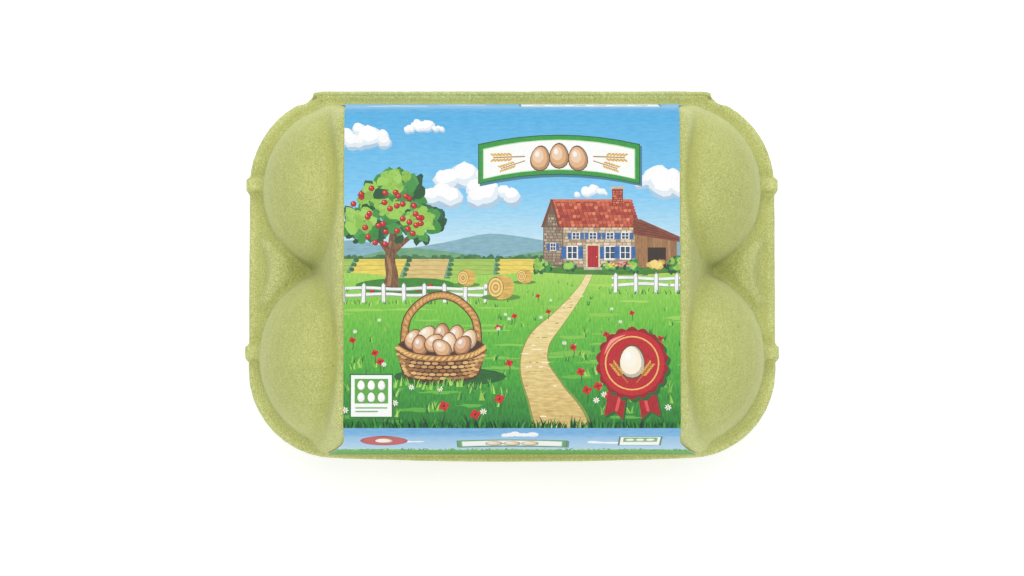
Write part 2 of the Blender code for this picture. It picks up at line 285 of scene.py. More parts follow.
class Shade:
    """A short way to write a material's nodes."""

    def __init__(self, name):
        self.material = bpy.data.materials.new(name)
        self.material.use_nodes = True
        self.tree = self.material.node_tree
        self.shader = self.tree.nodes["Principled BSDF"]

    def add(self, kind, inputs=None, **settings):
        node = self.tree.nodes.new(kind)
        for name, value in settings.items():
            setattr(node, name, value)
        for name, value in (inputs or {}).items():
            if isinstance(value, bpy.types.NodeSocket):
                self.tree.links.new(value, node.inputs[name])
            else:
                node.inputs[name].default_value = value
        return node

    def math(self, operation, first, second=0.0, clamp=False):
        node = self.add("ShaderNodeMath", {0: first, 1: second}, operation=operation, use_clamp=clamp)
        return node.outputs[0]

    def noise(self, place, scale, detail=2.0, roughness=0.5, distortion=0.0):
        values = {"Vector": place, "Scale": scale, "Detail": detail, "Roughness": roughness}
        values["Distortion"] = distortion
        return self.add("ShaderNodeTexNoise", values).outputs["Fac"]

    def stretched(self, place, scale, turn=(0.0, 0.0, 0.0)):
        """The same coordinates, turned and then stretched."""
        values = {"Vector": place, "Scale": scale, "Rotation": turn}
        return self.add("ShaderNodeMapping", values).outputs[0]

    def between(self, value, low, high, to_low=0.0, to_high=1.0):
        """The value mapped from one range to another, and kept inside it."""
        values = {"Value": value, "From Min": low, "From Max": high, "To Min": to_low, "To Max": to_high}
        return self.add("ShaderNodeMapRange", values).outputs[0]

    def stored(self, name, output="Fac"):
        """What the mesh stores under this name on its points or corners."""
        return self.add("ShaderNodeAttribute", attribute_name=name).outputs[output]

    def mix(self, share, first, second):
        node = self.add("ShaderNodeMix", data_type="RGBA")
        for socket, value in zip((node.inputs[0], node.inputs[6], node.inputs[7]), (share, first, second)):
            if isinstance(value, bpy.types.NodeSocket):
                self.tree.links.new(value, socket)
            elif socket.type == "RGBA":
                socket.default_value = (*value[:3], 1.0)
            else:
                socket.default_value = value
        return node.outputs[2]

    def finish(self, colour, height, distance, **plain):
        """Sets colour and bump, and plain numbers on the shader's own sockets."""
        self.tree.links.new(colour, self.shader.inputs["Base Color"])
        bump = self.add("ShaderNodeBump", {"Height": height, "Strength": 1.0, "Distance": distance})
        self.tree.links.new(bump.outputs[0], self.shader.inputs["Normal"])
        for name, value in plain.items():
            self.shader.inputs[name.replace("_", " ")].default_value = value
        return self.material


def pulp_material(settings):
    """Dyed moulded pulp: fine felted fibres, soft blotches and rare specks, with painted light on its crests,
    rim and webs.
    """
    shade = Shade("moulded_pulp")
    place = shade.add("ShaderNodeTexCoord").outputs["Object"]
    speckle = shade.noise(place, SPECK_SCALE, 3.0, 0.65)
    coarse = shade.noise(place, COARSE_SCALE, 2.0, 0.6)
    fibre = 0.0
    for turn in FIBRE_TURNS:
        lie = shade.stretched(place, FIBRE_SCALES, (0.0, 0.3, turn))
        fibre = shade.math("MAXIMUM", fibre, shade.noise(lie, 1.0, 1.0, 0.5, 0.8))
    blotch = shade.noise(place, BLOTCH_SCALE, 3.0, 0.6)
    broad = shade.noise(place, BROAD_SCALE, 2.0, 0.5)
    dark = shade.between(speckle, 0.34, 0.64, 0.7, 0.0)
    dark = shade.math("ADD", dark, shade.between(coarse, 0.32, 0.62, 0.2, 0.0))
    dark = shade.math("ADD", dark, shade.between(blotch, 0.4, 0.7, 0.0, 0.09))
    dark = shade.math("ADD", dark, shade.between(broad, 0.35, 0.65, 0.0, 0.12))
    dark = shade.math("SUBTRACT", dark, shade.between(fibre, 0.6, 0.75, 0.0, 0.2), clamp=True)
    parts = shade.add("ShaderNodeSeparateXYZ", {"Vector": place})
    height = parts.outputs["Z"]
    aside = shade.math("ABSOLUTE", parts.outputs["X"])
    # The domes are made lighter beside the raised middle, most at the peak distance
    lightened = shade.math(
        "MULTIPLY", shade.between(aside, LIGHTER_FROM, LIGHTER_PEAK),
        shade.between(aside, LIGHTER_PEAK, LIGHTER_TO, 1.0, 0.0))
    lightened = shade.math("MULTIPLY", lightened, settings.lightened)
    # Painted light on the rim, webs and notch, from below the seam and fading out above it
    low = shade.between(height, RIM_LIGHT_FROM, SEAM_Z)
    high = shade.between(height, RIM_LIGHT_FADES, RIM_LIGHT_TO, 1.0, 0.0)
    rim = shade.math("MULTIPLY", shade.math("MULTIPLY", low, high), settings.rim_painted_light)
    # Painted highlight on the crests that the relief marks
    crest = shade.between(shade.stored("relief"), 0.5, 0.0, 0.0, settings.crest)
    colour = settings.colour
    for share in (lightened, rim, crest):
        colour = shade.mix(share, colour, settings.highlight_colour)
    colour = shade.mix(dark, colour, settings.shade)
    cells = shade.add("ShaderNodeTexVoronoi", {"Vector": place, "Scale": FLECK_SCALE, "Randomness": 1.0})
    spot = shade.between(cells.outputs["Distance"], 0.035, 0.075, 1.0, 0.0)
    rare = shade.add("ShaderNodeSeparateColor", {"Color": cells.outputs["Color"]}).outputs[0]
    spot = shade.math("MULTIPLY", spot, shade.math("GREATER_THAN", rare, 0.6))
    colour = shade.mix(shade.math("MULTIPLY", spot, 0.6), colour, settings.fleck)
    bumps = shade.math("ADD", speckle, shade.math("MULTIPLY", coarse, 0.35))
    bumps = shade.math("ADD", bumps, shade.math("MULTIPLY", fibre, 0.3))
    return shade.finish(
        colour, bumps, 0.13 * MM, Roughness=0.95, Specular_IOR_Level=0.15, Sheen_Weight=0.36,
        Sheen_Roughness=0.5, Sheen_Tint=(0.86, 0.95, 0.66, 1.0))


def moulded_copy(node, name):
    """A merged copy of the node's form, ready to be worked on."""
    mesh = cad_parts[node].data.copy()
    obj = bpy.data.objects.new(name, mesh)
    bpy.context.scene.collection.objects.link(obj)
    mesh.materials.clear()
    pick(obj)
    bpy.ops.object.mode_set(mode="EDIT")
    bpy.ops.mesh.select_all(action="SELECT")
    bpy.ops.mesh.remove_doubles(threshold=MERGE_REACH)
    bpy.ops.object.mode_set(mode="OBJECT")
    return obj


def add_fold(obj):
    """Carries the lid's back edge up into the hinge, with which it is moulded in one sheet."""
    low_y, high_y = LID_HIGH.y - FOLD_START, LID_HIGH.y + FOLD_REACH
    low_z, high_z = SEAM_Z, SEAM_Z + RIM_THICK + FOLD_RISE
    pick(obj)
    bpy.ops.object.mode_set(mode="EDIT")
    bpy.ops.mesh.primitive_cube_add(
        size=1, location=(0, (low_y + high_y) / 2, (low_z + high_z) / 2),
        scale=(2 * FOLD_HALF_LENGTH, high_y - low_y, high_z - low_z))
    bpy.ops.object.mode_set(mode="OBJECT")
    for vertex in obj.data.vertices:
        if vertex.select and vertex.co.z > SEAM_Z + RIM_THICK and vertex.co.y < LID_HIGH.y:
            vertex.co.z -= FOLD_RISE + FOLD_DIP


def points_of(mesh):
    """The mesh's points, as rows of three numbers."""
    points = np.empty(len(mesh.vertices) * 3)
    mesh.vertices.foreach_get("co", points)
    return points.reshape(-1, 3)


def soften(obj, cell, settings, is_crease):
    """Gives the form the soft creases and edges and the slightly uneven face of moulded pulp."""
    apply_modifier(obj, "REMESH", mode="VOXEL", voxel_size=cell)
    heights = points_of(obj.data)[:, 2]
    group = obj.vertex_groups.new(name="creases")
    soft = is_crease(heights)
    group.add(np.flatnonzero(soft).tolist(), 1.0, "REPLACE")
    group.add(np.flatnonzero(~soft).tolist(), settings.edge_softness, "REPLACE")
    apply_modifier(obj, "SMOOTH", factor=0.5, iterations=settings.softness, vertex_group=group.name)
    obj.vertex_groups.clear()
    for size, share in ((14 * MM, 1.0), (3.5 * MM, 0.45)):
        clouds = bpy.data.textures.new("unevenness", "CLOUDS")
        clouds.noise_scale = size
        apply_modifier(
            obj, "DISPLACE", texture=clouds, texture_coords="LOCAL", mid_level=0.5,
            strength=settings.unevenness * share)
        bpy.data.textures.remove(clouds)


def fit_to(obj, low, high):
    """Stretches the piece by the little that it takes to fill its box again."""
    points = points_of(obj.data)
    low, high = np.array(low), np.array(high)
    least, most = points.min(0), points.max(0)
    points = low + (points - least) * (high - low) / (most - least)
    obj.data.vertices.foreach_set("co", points.ravel())
    obj.data.update()


def mark_relief(obj):
    """Stores on each point whether it lies in a crease (towards 1) or on a crest (towards 0)."""
    mesh = obj.data
    points = points_of(mesh)
    count = len(points)
    ends = np.empty(len(mesh.edges) * 2, int)
    mesh.edges.foreach_get("vertices", ends)
    first, second = ends[0::2], ends[1::2]
    near = np.bincount(first, minlength=count) + np.bincount(second, minlength=count)

    def average(values):
        sums = [
            np.bincount(first, column[second], count) + np.bincount(second, column[first], count)
            for column in values.T]
        return np.stack(sums, 1) / near[:, None]

    smooth = points
    for _ in range(RELIEF_PASSES):
        smooth = average(smooth)
    normals = np.empty(count * 3)
    mesh.vertex_normals.foreach_get("vector", normals)
    depth = ((smooth - points) * normals.reshape(-1, 3)).sum(1, keepdims=True)
    for _ in range(2):
        depth = average(depth)
    relief = np.clip(0.5 + depth[:, 0] / (2 * RELIEF_DEPTH), 0, 1)
    mesh.attributes.new("relief", "FLOAT", "POINT").data.foreach_set("value", relief)


def flatten_seam(obj, seam_z, up):
    """Makes the hidden face along the seam flat, with few faces."""
    mesh = obj.data
    for face in mesh.polygons:
        face.select = face.normal.z * up > 0.8 and abs(face.center.z - seam_z) < SEAM_REACH
        if face.select:
            for index in face.vertices:
                mesh.vertices[index].co.z = seam_z
    pick(obj)
    bpy.ops.object.mode_set(mode="EDIT")
    bpy.ops.mesh.select_mode(type="FACE")
    bpy.ops.mesh.delete(type="FACE")
    bpy.ops.mesh.select_mode(type="EDGE")
    bpy.ops.mesh.select_non_manifold(
        extend=False, use_wire=False, use_boundary=True, use_multi_face=False,
        use_non_contiguous=False, use_verts=False)
    bpy.ops.mesh.fill(use_beauty=False)
    bpy.ops.mesh.select_all(action="SELECT")
    bpy.ops.mesh.normals_make_consistent(inside=False)
    bpy.ops.object.mode_set(mode="OBJECT")


def hand_over(obj, node, material):
    """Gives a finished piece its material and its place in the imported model."""
    obj.data.materials.clear()
    obj.data.materials.append(material)
    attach(obj, "root")
    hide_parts(node)


def pulp_finish(settings):
    """The material that lid and tray share, made with the first of them."""
    return bpy.data.materials.get("moulded_pulp") or pulp_material(settings)


class MouldLid(bpy.types.Operator):
    """Makes the pulp lid: raised middle, four domes, webs, rim and ribs"""

    bl_idname = "egg_carton.mould_lid"
    bl_label = "Mould Lid"

    def execute(self, context):
        settings = context.scene.egg_carton_pulp
        obj = moulded_copy("lid", "lid_pulp")
        add_fold(obj)
        soften(obj, settings.lid_cell, settings, lambda z: z > SEAM_Z + RIM_THICK + RIB_ZONE)
        fit_to(obj, LID_LOW, LID_HIGH + Vector((0, FOLD_REACH, 0)))
        mark_relief(obj)
        flatten_seam(obj, SEAM_Z, -1)
        obj.data.shade_smooth()
        hand_over(obj, "lid", pulp_finish(settings))
        return {"FINISHED"}


class MouldTray(bpy.types.Operator):
    """Makes the pulp tray: rim, hinge strip, skirt and six fluted cups"""

    bl_idname = "egg_carton.mould_tray"
    bl_label = "Mould Tray"

    def execute(self, context):
        settings = context.scene.egg_carton_pulp
        obj = moulded_copy("tray", "tray_pulp")
        soften(obj, settings.tray_cell, settings, lambda z: z < SEAM_Z - RIM_THICK - TRAY_RIM_ZONE)
        fit_to(obj, TRAY_LOW, TRAY_HIGH)
        mark_relief(obj)
        flatten_seam(obj, SEAM_Z - SEAM_GAP, 1)
        obj.data.shade_smooth()
        hand_over(obj, "tray", pulp_finish(settings))
        return {"FINISHED"}


def curve(points, closed=True, steps=4):
    """A smooth line through the points."""
    count = len(points)
    made = []
    for i in range(count if closed else count - 1):
        if closed:
            near = [points[(i + k) % count] for k in (-1, 0, 1, 2)]
        else:
            near = [points[min(max(i + k, 0), count - 1)] for k in (-1, 0, 1, 2)]
        for step in range(steps):
            t = step / steps
            weights = (
                -t + 2 * t**2 - t**3, 2 - 5 * t**2 + 3 * t**3, t + 4 * t**2 - 3 * t**3, t**3 - t**2)
            made.append(tuple(sum(w * p[k] for w, p in zip(weights, near)) / 2 for k in (0, 1)))
    return made if closed else made + [points[-1]]


def ribbon(path, *widths):
    """The outline of a line whose width changes evenly from each given width to the next."""
    left, right = [], []
    last = len(path) - 1
    for i, (u, v) in enumerate(path):
        before, after = path[max(i - 1, 0)], path[min(i + 1, last)]
        du, dv = after[0] - before[0], after[1] - before[1]
        place = i / last * (len(widths) - 1)
        low = min(int(place), len(widths) - 2) if len(widths) > 1 else 0
        high = min(low + 1, len(widths) - 1)
        width = widths[low] + (widths[high] - widths[low]) * (place - low)
        reach = width / 2 / max(math.hypot(du, dv), 1e-6)
        left.append((u - dv * reach, v + du * reach))
        right.append((u + dv * reach, v - du * reach))
    return left + right[::-1]


def stroke(points, *widths, steps=4):
    """The outline of a smooth line through the points."""
    return ribbon(curve(points, closed=False, steps=steps), *widths)


def block(left, low, right, high):
    """An upright rectangle."""
    return [(left, low), (right, low), (right, high), (left, high)]


def pane(u, v, half_u, half_v):
    """An upright rectangle around its middle."""
    return block(u - half_u, v - half_v, u + half_u, v + half_v)


def bow(u, v, *half):
    """A line that is the same on both sides of u, given from its left end to its middle."""
    return [(u - out, v + up) for out, up in half] + [(u + out, v + up) for out, up in half[-2::-1]]


def turned(u, v, along, aside, turn):
    """The point this far along and aside from (u, v), on axes turned by the angle."""
    return (
        u + along * math.cos(turn) - aside * math.sin(turn),
        v + along * math.sin(turn) + aside * math.cos(turn))


def blend_tone(share, first, second):
    """The tone that lies this share of the way from the first to the second."""
    share = min(max(share, 0.0), 1.0)
    return tuple(a + (b - a) * share for a, b in zip(first, second))


def by_height(*stops):
    """A tone that changes along v, given at a few places from the top down."""
    def tone(u, v):
        for (high, upper), (low, lower) in zip(stops, stops[1:]):
            if v >= low:
                return blend_tone((high - v) / (high - low), upper, lower)
        return stops[-1][1]
    return tone


class Print:
    """The picture on the paper: flat shapes in millimetres, each painted over those before it."""

    def __init__(self, seed):
        self.random = random.Random(seed)
        self.shapes = []

    def add(self, points, first, second=None, lie=MOTTLED):
        """One shape in two tones, which streaks mix: across the sheet, mottled, or along it."""
        turning = sum(a[0] * b[1] - b[0] * a[1] for a, b in zip(points, points[1:] + points[:1]))
        self.shapes.append((points if turning > 0 else points[::-1], first, second or first, lie))

    def shadow(self, points, tone, shift=0.5):
        """A shape's shadow, a little to the right and down."""
        self.add([(u + shift, v - shift - 0.1) for u, v in points], tone)

    def oval(
            self, u, v, half_u, half_v, first, second=None, lie=MOTTLED, turn=0.0, wobble=0.0, steps=12):
        """An oval whose edge strays by up to the wobble's share of its size."""
        points = []
        for step in range(steps):
            angle = 2 * math.pi * step / steps
            grow = 1 + wobble * self.random.uniform(-1, 1)
            points.append(turned(
                u, v, half_u * grow * math.cos(angle), half_v * grow * math.sin(angle), turn))
        self.add(points, first, second, lie)

    def vary(self, tone, amount=0.1):
        """A tone a little lighter or darker than the given one."""
        share = self.random.uniform(-amount, amount)
        return blend_tone(abs(share), tone, WHITE if share > 0 else BLACK)

    def spread(self, low, high):
        """A number drawn evenly between the two."""
        return self.random.uniform(low, high)

    def leafage(self, u, v, half_u, half_v, count, size, tones=None):
        """A rounded crown of leaves, dark low down and light towards its top left."""
        dark, middle, light = tones or (LEAF_DARK, LEAF, LEAF_LIGHT)
        for tone, share, shift in ((dark, 1.0, 0.0), (middle, 0.86, 0.12), (light, 0.66, 0.3)):
            for _ in range(count):
                angle = self.spread(0, 2 * math.pi)
                reach = math.sqrt(self.spread(0, 1)) * share
                place_u = u + half_u * (reach * math.cos(angle) - 0.5 * shift)
                place_v = v + half_v * (reach * math.sin(angle) + shift)
                radius = size * self.spread(0.6, 1.1) * (1.1 - 0.5 * shift)
                self.oval(
                    place_u, place_v, radius * 1.15, radius * 0.85, self.vary(tone), self.vary(tone, 0.2),
                    turn=self.spread(0, 3), wobble=0.28, steps=8)

    def egg(self, u, v, size, tone, turn=0.0, outline=EGG_LINE):
        """An egg with its light side at the upper left."""
        def shape(grow, shift_u=0.0, shift_v=0.0):
            points = []
            for step in range(16):
                angle = 2 * math.pi * step / 16
                x = 0.76 * size * grow * math.cos(angle) * (1 - 0.13 * math.sin(angle))
                y = size * grow * math.sin(angle)
                points.append(turned(u + shift_u, v + shift_v, x, y, turn))
            return points
        self.add(shape(1.1), outline)
        self.add(shape(1.0), blend_tone(0.28, tone, BLACK), blend_tone(0.2, tone, BLACK))
        self.add(shape(0.88, -0.08 * size, 0.08 * size), tone, self.vary(tone, 0.08))
        self.add(shape(0.58, -0.16 * size, 0.2 * size), blend_tone(0.4, tone, WHITE))
        self.add(shape(0.24, -0.26 * size, 0.36 * size), blend_tone(0.85, tone, WHITE))

    def stones(self, left, low, right, high, tones, long=1.5, tall=0.85):
        """Rough courses of stone or brick inside the block."""
        row = 0
        v = low
        while v < high - 0.3:
            u = left - long * (0.5 if row % 2 else 0.0)
            while u < right:
                end = min(u + long * self.spread(0.7, 1.3), right)
                start = max(u, left)
                if end - start > 0.35:
                    top = min(v + tall, high)
                    tone = self.vary(self.random.choice(tones), 0.12)
                    self.add([
                        (start + 0.09, v + 0.12), (end - 0.12, v + 0.08), (end - 0.08, top - 0.1),
                        (start + 0.14, top - 0.06)], tone, self.vary(tone, 0.12))
                u = end
            row += 1
            v += tall


def paint_sky(page):
    """Heaped clouds, each painted as a shade, a body and a bright top."""
    for u, v, size in ((-41, 35.5, 1.05), (-12, 20.5, 1.5), (41, 22.5, 1.15), (-24, 39, 0.6), (22, 21, 0.5)):
        puffs = []
        for _ in range(16):
            along = page.spread(-1, 1)
            rise = page.spread(0, 1) * (1 - along * along)
            radius = page.spread(1.3, 2.5) * size * (1.15 - 0.6 * abs(along))
            puffs.append((u + along * 8.5 * size, v + rise * 4.4 * size, radius))
        for tone, drop, share in ((CLOUD_SHADE, -0.8, 1.0), (CLOUD, -0.1, 0.95), (WHITE, 0.5, 0.72)):
            for puff_u, puff_v, radius in puffs:
                page.oval(
                    puff_u - 0.3 * drop, puff_v + drop * size, radius * share * 1.25, radius * share, tone,
                    page.vary(tone, 0.04), wobble=0.12)


def land(page, heights, foot, first, second=None, lie=ACROSS):
    """Land from side to side, with its skyline through the heights."""
    last = len(heights) - 1
    line = [(SHEET_REACH * (2 * i / last - 1), height) for i, height in enumerate(heights)]
    page.add(
        curve(line, closed=False) + [(SHEET_REACH, foot), (-SHEET_REACH, foot)], first, second, lie)


def paint_country(page):
    """Far hills, hedges and a patchwork of fields."""
    land(page, (7, 8.4, 6.2, 7.8, 10.2, 8.8, 6.5, 8.2, 9.6, 7.0), -4, FAR_HILL, (140, 182, 196))
    land(page, (4.6, 3.8, 6.2, 5.4, 3.6, 5.0, 6.6, 5.2, 4.0, 5.4), -4, NEAR_HILL, (122, 172, 128))
    u = -SHEET_REACH
    while u < SHEET_REACH:
        size = page.spread(0.5, 1.1)
        page.oval(
            u, 3.3 + page.spread(-0.3, 0.5), size, size * 0.9, page.vary(HEDGE, 0.15),
            page.vary(HEDGE, 0.2), wobble=0.2, steps=8)
        u += size * 1.15
    edges = (-58, -41, -27, -16, -4, 7, 19, 33, 44, 58)
    tones = (FIELD_GREEN, FIELD_YELLOW, FIELD_TAN) * 2 + (FIELD_GREEN, FIELD_YELLOW, FIELD_GREEN)
    for i, (left, right, tone) in enumerate(zip(edges, edges[1:], tones)):
        lean = 1.6 * (i - 4)
        page.add(
            [(left + lean * 0.4, 3.2), (right + lean * 0.4, 3.2), (right + lean, -3.5), (left + lean, -3.5)],
            tone, blend_tone(0.25, tone, (150, 120, 60)), ACROSS)
        for row in range(4):
            height = 2.6 - 1.25 * row
            furrow = [
                (left + lean * 0.5, height), ((left + right) / 2, height + 0.15),
                (right + lean * 0.5, height)]
            page.add(ribbon(furrow, 0.16), blend_tone(0.22, tone, BLACK))
        for step in range(5):
            page.oval(
                left + lean * (0.4 + 0.12 * step), 2.9 - 1.3 * step, 0.75, 0.6, page.vary(HEDGE, 0.2),
                page.vary(HEDGE, 0.2), wobble=0.2, steps=7)


def paint_meadow(page):
    """Grass that darkens towards the front, with soft patches of light and shade."""
    land(
        page, (-1.4, -0.6, -1.8, -2.2, -1.2, -0.5, -0.9, -1.6, -0.8, 0.2), -50,
        by_height((0, (178, 218, 96)), (-12, (128, 203, 66)), (-28, (84, 180, 56)), (-42, (40, 138, 48))),
        by_height((0, (150, 205, 84)), (-12, (96, 182, 56)), (-28, (50, 150, 48)), (-42, (24, 104, 40))),
        ALONG)
    for _ in range(46):
        v = -3 - 40 * page.spread(0, 1) ** 1.1
        near = -v / 42
        tone = blend_tone(near, (178, 220, 92), (82, 172, 54))
        page.oval(
            page.spread(-50, 50), v, page.spread(3, 7), page.spread(0.25, 0.6) * (0.6 + near), tone,
            page.vary(tone, 0.12), ALONG, wobble=0.4, steps=14)


def paint_way(page):
    """A sandy way that winds from the house to the front."""
    middle = curve(WAY, closed=False, steps=6)
    page.add(ribbon(middle, *WAY_WIDTHS), (150, 150, 74), (112, 150, 62))
    page.add(
        ribbon(middle, *[0.9 * wide for wide in WAY_WIDTHS]),
        by_height((0, (246, 230, 176)), (-20, (240, 222, 158)), (-42, (226, 200, 128))),
        by_height((0, (228, 206, 146)), (-20, (220, 194, 126)), (-42, (196, 164, 96))), ACROSS)
    for _ in range(54):
        i = int(len(middle) * page.spread(0.04, 0.8))
        u, v = middle[i]
        width = 7.5 - 6.7 * i / len(middle)
        tone = page.random.choice(((206, 178, 112), (250, 238, 196), (188, 156, 98)))
        page.oval(
            u + page.spread(-1, 1) * width * 0.8, v, width * page.spread(0.06, 0.24), 0.1 + width * 0.022,
            tone, lie=ACROSS, steps=8)


def paint_house(page):
    """A long stone house with a tiled roof, and a wooden barn against it."""
    page.oval(27, 0.1, 21, 1.3, (74, 138, 50), (58, 118, 46), ACROSS)
    page.add([(8.6, 1.4), (14, 0.9), (14, 12.4), (11.2, 18.6), (8.6, 12.2)], MORTAR_SHADE)
    page.stones(8.7, 1.6, 13.9, 12.2, STONES_SHADE, 1.2, 0.8)
    page.stones(9.8, 12.4, 12.8, 15.6, STONES_SHADE, 1.1, 0.8)
    page.add(block(14, 0.9, 34, 12.4), MORTAR)
    page.stones(14.1, 1.0, 33.9, 12.2, STONES)
    page.add([(12.9, 11.9), (35.4, 11.9), (32.8, 19.4), (10.6, 19.4)], TILE_DARK)
    for row in range(9):
        v = 12.15 + 0.82 * row
        left, right = 12.9 - 0.25 * row, 35.2 - 0.285 * row
        tile = left
        while tile < right - 0.4:
            tone = page.vary(page.random.choice(TILES), 0.12)
            page.add([
                (tile + 0.06, v + 0.82), (tile + 0.06, v + 0.14), (tile + 0.38, v - 0.1),
                (tile + 0.78, v - 0.1), (tile + 1.06, v + 0.14), (tile + 1.06, v + 0.82)],
                tone, page.vary(tone, 0.1))
            tile += 1.12
    page.add(block(10.5, 19.1, 32.9, 19.75), (226, 128, 88), (196, 92, 62))
    page.add([
        (8.0, 12.0), (10.7, 19.7), (11.3, 19.7), (13.3, 12.0), (12.6, 12.0), (11.0, 18.2), (8.8, 12.0)],
        (120, 66, 44))
    page.add(block(27.6, 17.8, 30.6, 23.2), TILE_DARK)
    page.stones(27.7, 17.9, 30.5, 22.6, TILES, 1.0, 0.6)
    page.add(block(27.2, 22.6, 31.0, 23.3), (214, 200, 176), (182, 164, 140))
    for u in (16.6, 27.0, 31.2):
        paint_window(page, u, 5.0, 1.5, 3.4)
    for u in (17.6, 22.3, 27.0, 31.2):
        paint_window(page, u, 9.6, 1.1, 1.7)
    paint_window(page, 11.3, 6.6, 0.8, 1.9)
    page.add(block(20.4, 0.9, 24.2, 7.3), (236, 224, 196), (214, 198, 166))
    page.add(block(20.8, 0.9, 23.8, 6.9), (196, 40, 44), (168, 28, 36), ALONG)
    for u in (21.5, 22.3, 23.1):
        page.add(ribbon([(u, 1.0), (u, 6.8)], 0.12), (120, 18, 26))
    page.oval(23.3, 3.8, 0.16, 0.16, (240, 206, 96), steps=6)
    page.add(block(19.8, 0.2, 24.8, 0.95), (214, 204, 184), (178, 166, 146), ACROSS)
    page.add([(34, 0.8), (45.4, 0.9), (45.4, 8.4), (34, 10.2)], (146, 104, 66))
    plank = 34.1
    while plank < 45.2:
        wide = page.spread(0.6, 0.9)
        page.add(
            block(plank, 0.9, min(plank + wide - 0.09, 45.3), 10.1 - (plank - 34) * 0.155),
            page.vary((172, 126, 80), 0.14), page.vary((140, 98, 62), 0.1), ALONG)
        plank += wide
    page.add(
        [(33.4, 10.0), (46.2, 7.9), (46.2, 9.4), (35.4, 14.2), (33.4, 14.2)],
        (118, 62, 44), (146, 78, 54), ACROSS)
    for row in range(5):
        page.add(
            ribbon([(33.6, 10.7 + 0.72 * row), (46.2 - 2.0 * row, 8.5 + 0.95 * row)], 0.18), (86, 42, 32))
    page.add(block(37.4, 0.8, 42.4, 6.4), (58, 40, 30), (44, 30, 24))
    page.leafage(39.9, 1.6, 2.2, 1.0, 12, 0.8, ((186, 146, 60), (222, 184, 84), (246, 216, 124)))
    bushes = ((8.4, 2.6, 1.9), (15.6, 1.5, 0.9), (33.4, 2.0, 1.5), (45.6, 2.8, 2.6), (27.2, 2.2, 0.8))
    for u, half_u, half_v in bushes:
        page.leafage(u, 1.2, half_u, half_v, 11, 0.75)
    for _ in range(26):
        page.oval(
            page.spread(25.2, 33.2), page.spread(1.2, 2.4), 0.28, 0.28,
            page.random.choice(((232, 60, 70), (250, 220, 80), (246, 150, 190))), steps=6)


def paint_window(page, u, v, half_u, half_v):
    """A sash window between two blue shutters."""
    for side in (-1, 1):
        shutter = pane(u + side * half_u * 1.55, v, half_u * 0.45, half_v * 0.5)
        page.add(shutter, (58, 118, 186), (38, 88, 150), ALONG)
    page.add(pane(u, v, half_u, half_v * 0.56), WHITE)
    page.add(pane(u, v, half_u * 0.82, half_v * 0.47), (64, 88, 112), (40, 56, 78))
    page.add(pane(u, v, half_u * 0.08, half_v * 0.5), WHITE)
    page.add(pane(u, v, half_u * 0.9, 0.07), WHITE)


def apple(page, u, v, edge, cheek):
    """A red apple, from the half sizes of its dark edge and of its lit cheek."""
    page.oval(u, v, *edge, APPLE_EDGE, steps=10)
    page.oval(u - 0.06, v + 0.08, *cheek, APPLE, APPLE_SHADE, steps=10)


def paint_tree(page):
    """An apple tree at the left, in full leaf."""
    page.oval(-29, -4.4, 15, 2.4, (66, 142, 48), (52, 122, 44), ACROSS, wobble=0.06, steps=18)
    trunk = [(-33.6, -5.2), (-33.0, -1.5), (-33.6, 3), (-32.6, 9), (-32.8, 14)]
    page.add(stroke(trunk, 5.2, 3.4, 2.9, 2.6, 1.4), BARK_DARK, BARK, ALONG)
    lit = [(-34.0, -4.2), (-33.5, 0), (-34.1, 4), (-33.2, 9)]
    page.add(stroke(lit, 1.2, 0.9, 0.8, 0.4), (176, 136, 92), BARK, ALONG)
    boughs = (
        [(-33, 4), (-37, 9), (-41, 12)], [(-33, 5), (-28.5, 9), (-24, 11)], [(-33, 8), (-30, 14), (-29, 19)])
    for bough in boughs:
        page.add(stroke(bough, 1.9, 1.3, 0.6), BARK_DARK, BARK, ALONG)
    crowns = (
        (-33, 17, 10.5, 8.6, 64), (-41, 12.5, 6, 5.0, 30), (-24.5, 12.5, 5.6, 4.8, 30),
        (-31.5, 23.5, 6.8, 4.4, 26))
    for u, v, half_u, half_v, count in crowns:
        page.leafage(u, v, half_u, half_v, count, 1.55)
    for _ in range(34):
        angle = page.spread(0, 2 * math.pi)
        reach = math.sqrt(page.spread(0, 1))
        u, v = -33 + 11.5 * reach * math.cos(angle), 15.5 + 8.6 * reach * math.sin(angle)
        apple(page, u, v, (0.86, 0.82), (0.7, 0.66))
        page.oval(u - 0.26, v + 0.28, 0.2, 0.16, (252, 190, 170), steps=6)
    for u, v in ((-26, -5.2), (-38.5, -5.6), (-30, -6.2), (-22.4, -4.2)):
        apple(page, u, v, (0.7, 0.62), (0.56, 0.5))


# Half of a straw bale's outline, for a bale that is one unit high above its middle
BALE_SIDE = ((0, 1), (1.3, 0.96), (1.75, 0), (1.3, -0.96), (0, -1))


def paint_bales(page):
    """Round bales of straw on the stubble."""
    for u, v, size in ((-13.5, -2.0, 2.0), (-4.5, -4.6, 2.9), (2.6, -1.6, 1.7)):
        page.oval(u + size * 0.5, v - size * 0.95, size * 1.9, size * 0.32, (92, 142, 54), lie=ACROSS)
        side = [(u + out * size, v + up * size) for out, up in BALE_SIDE]
        page.add(curve(side), (232, 196, 104), (196, 154, 70), ACROSS)
        page.oval(u, v, size * 0.78, size, (176, 132, 56), (150, 108, 46), steps=18)
        for ring in range(5):
            share = 0.9 - 0.19 * ring
            tone = (240, 208, 122) if ring % 2 == 0 else (198, 154, 72)
            page.oval(
                u, v, size * 0.78 * share, size * share, tone, page.vary(tone, 0.15), wobble=0.03, steps=16)


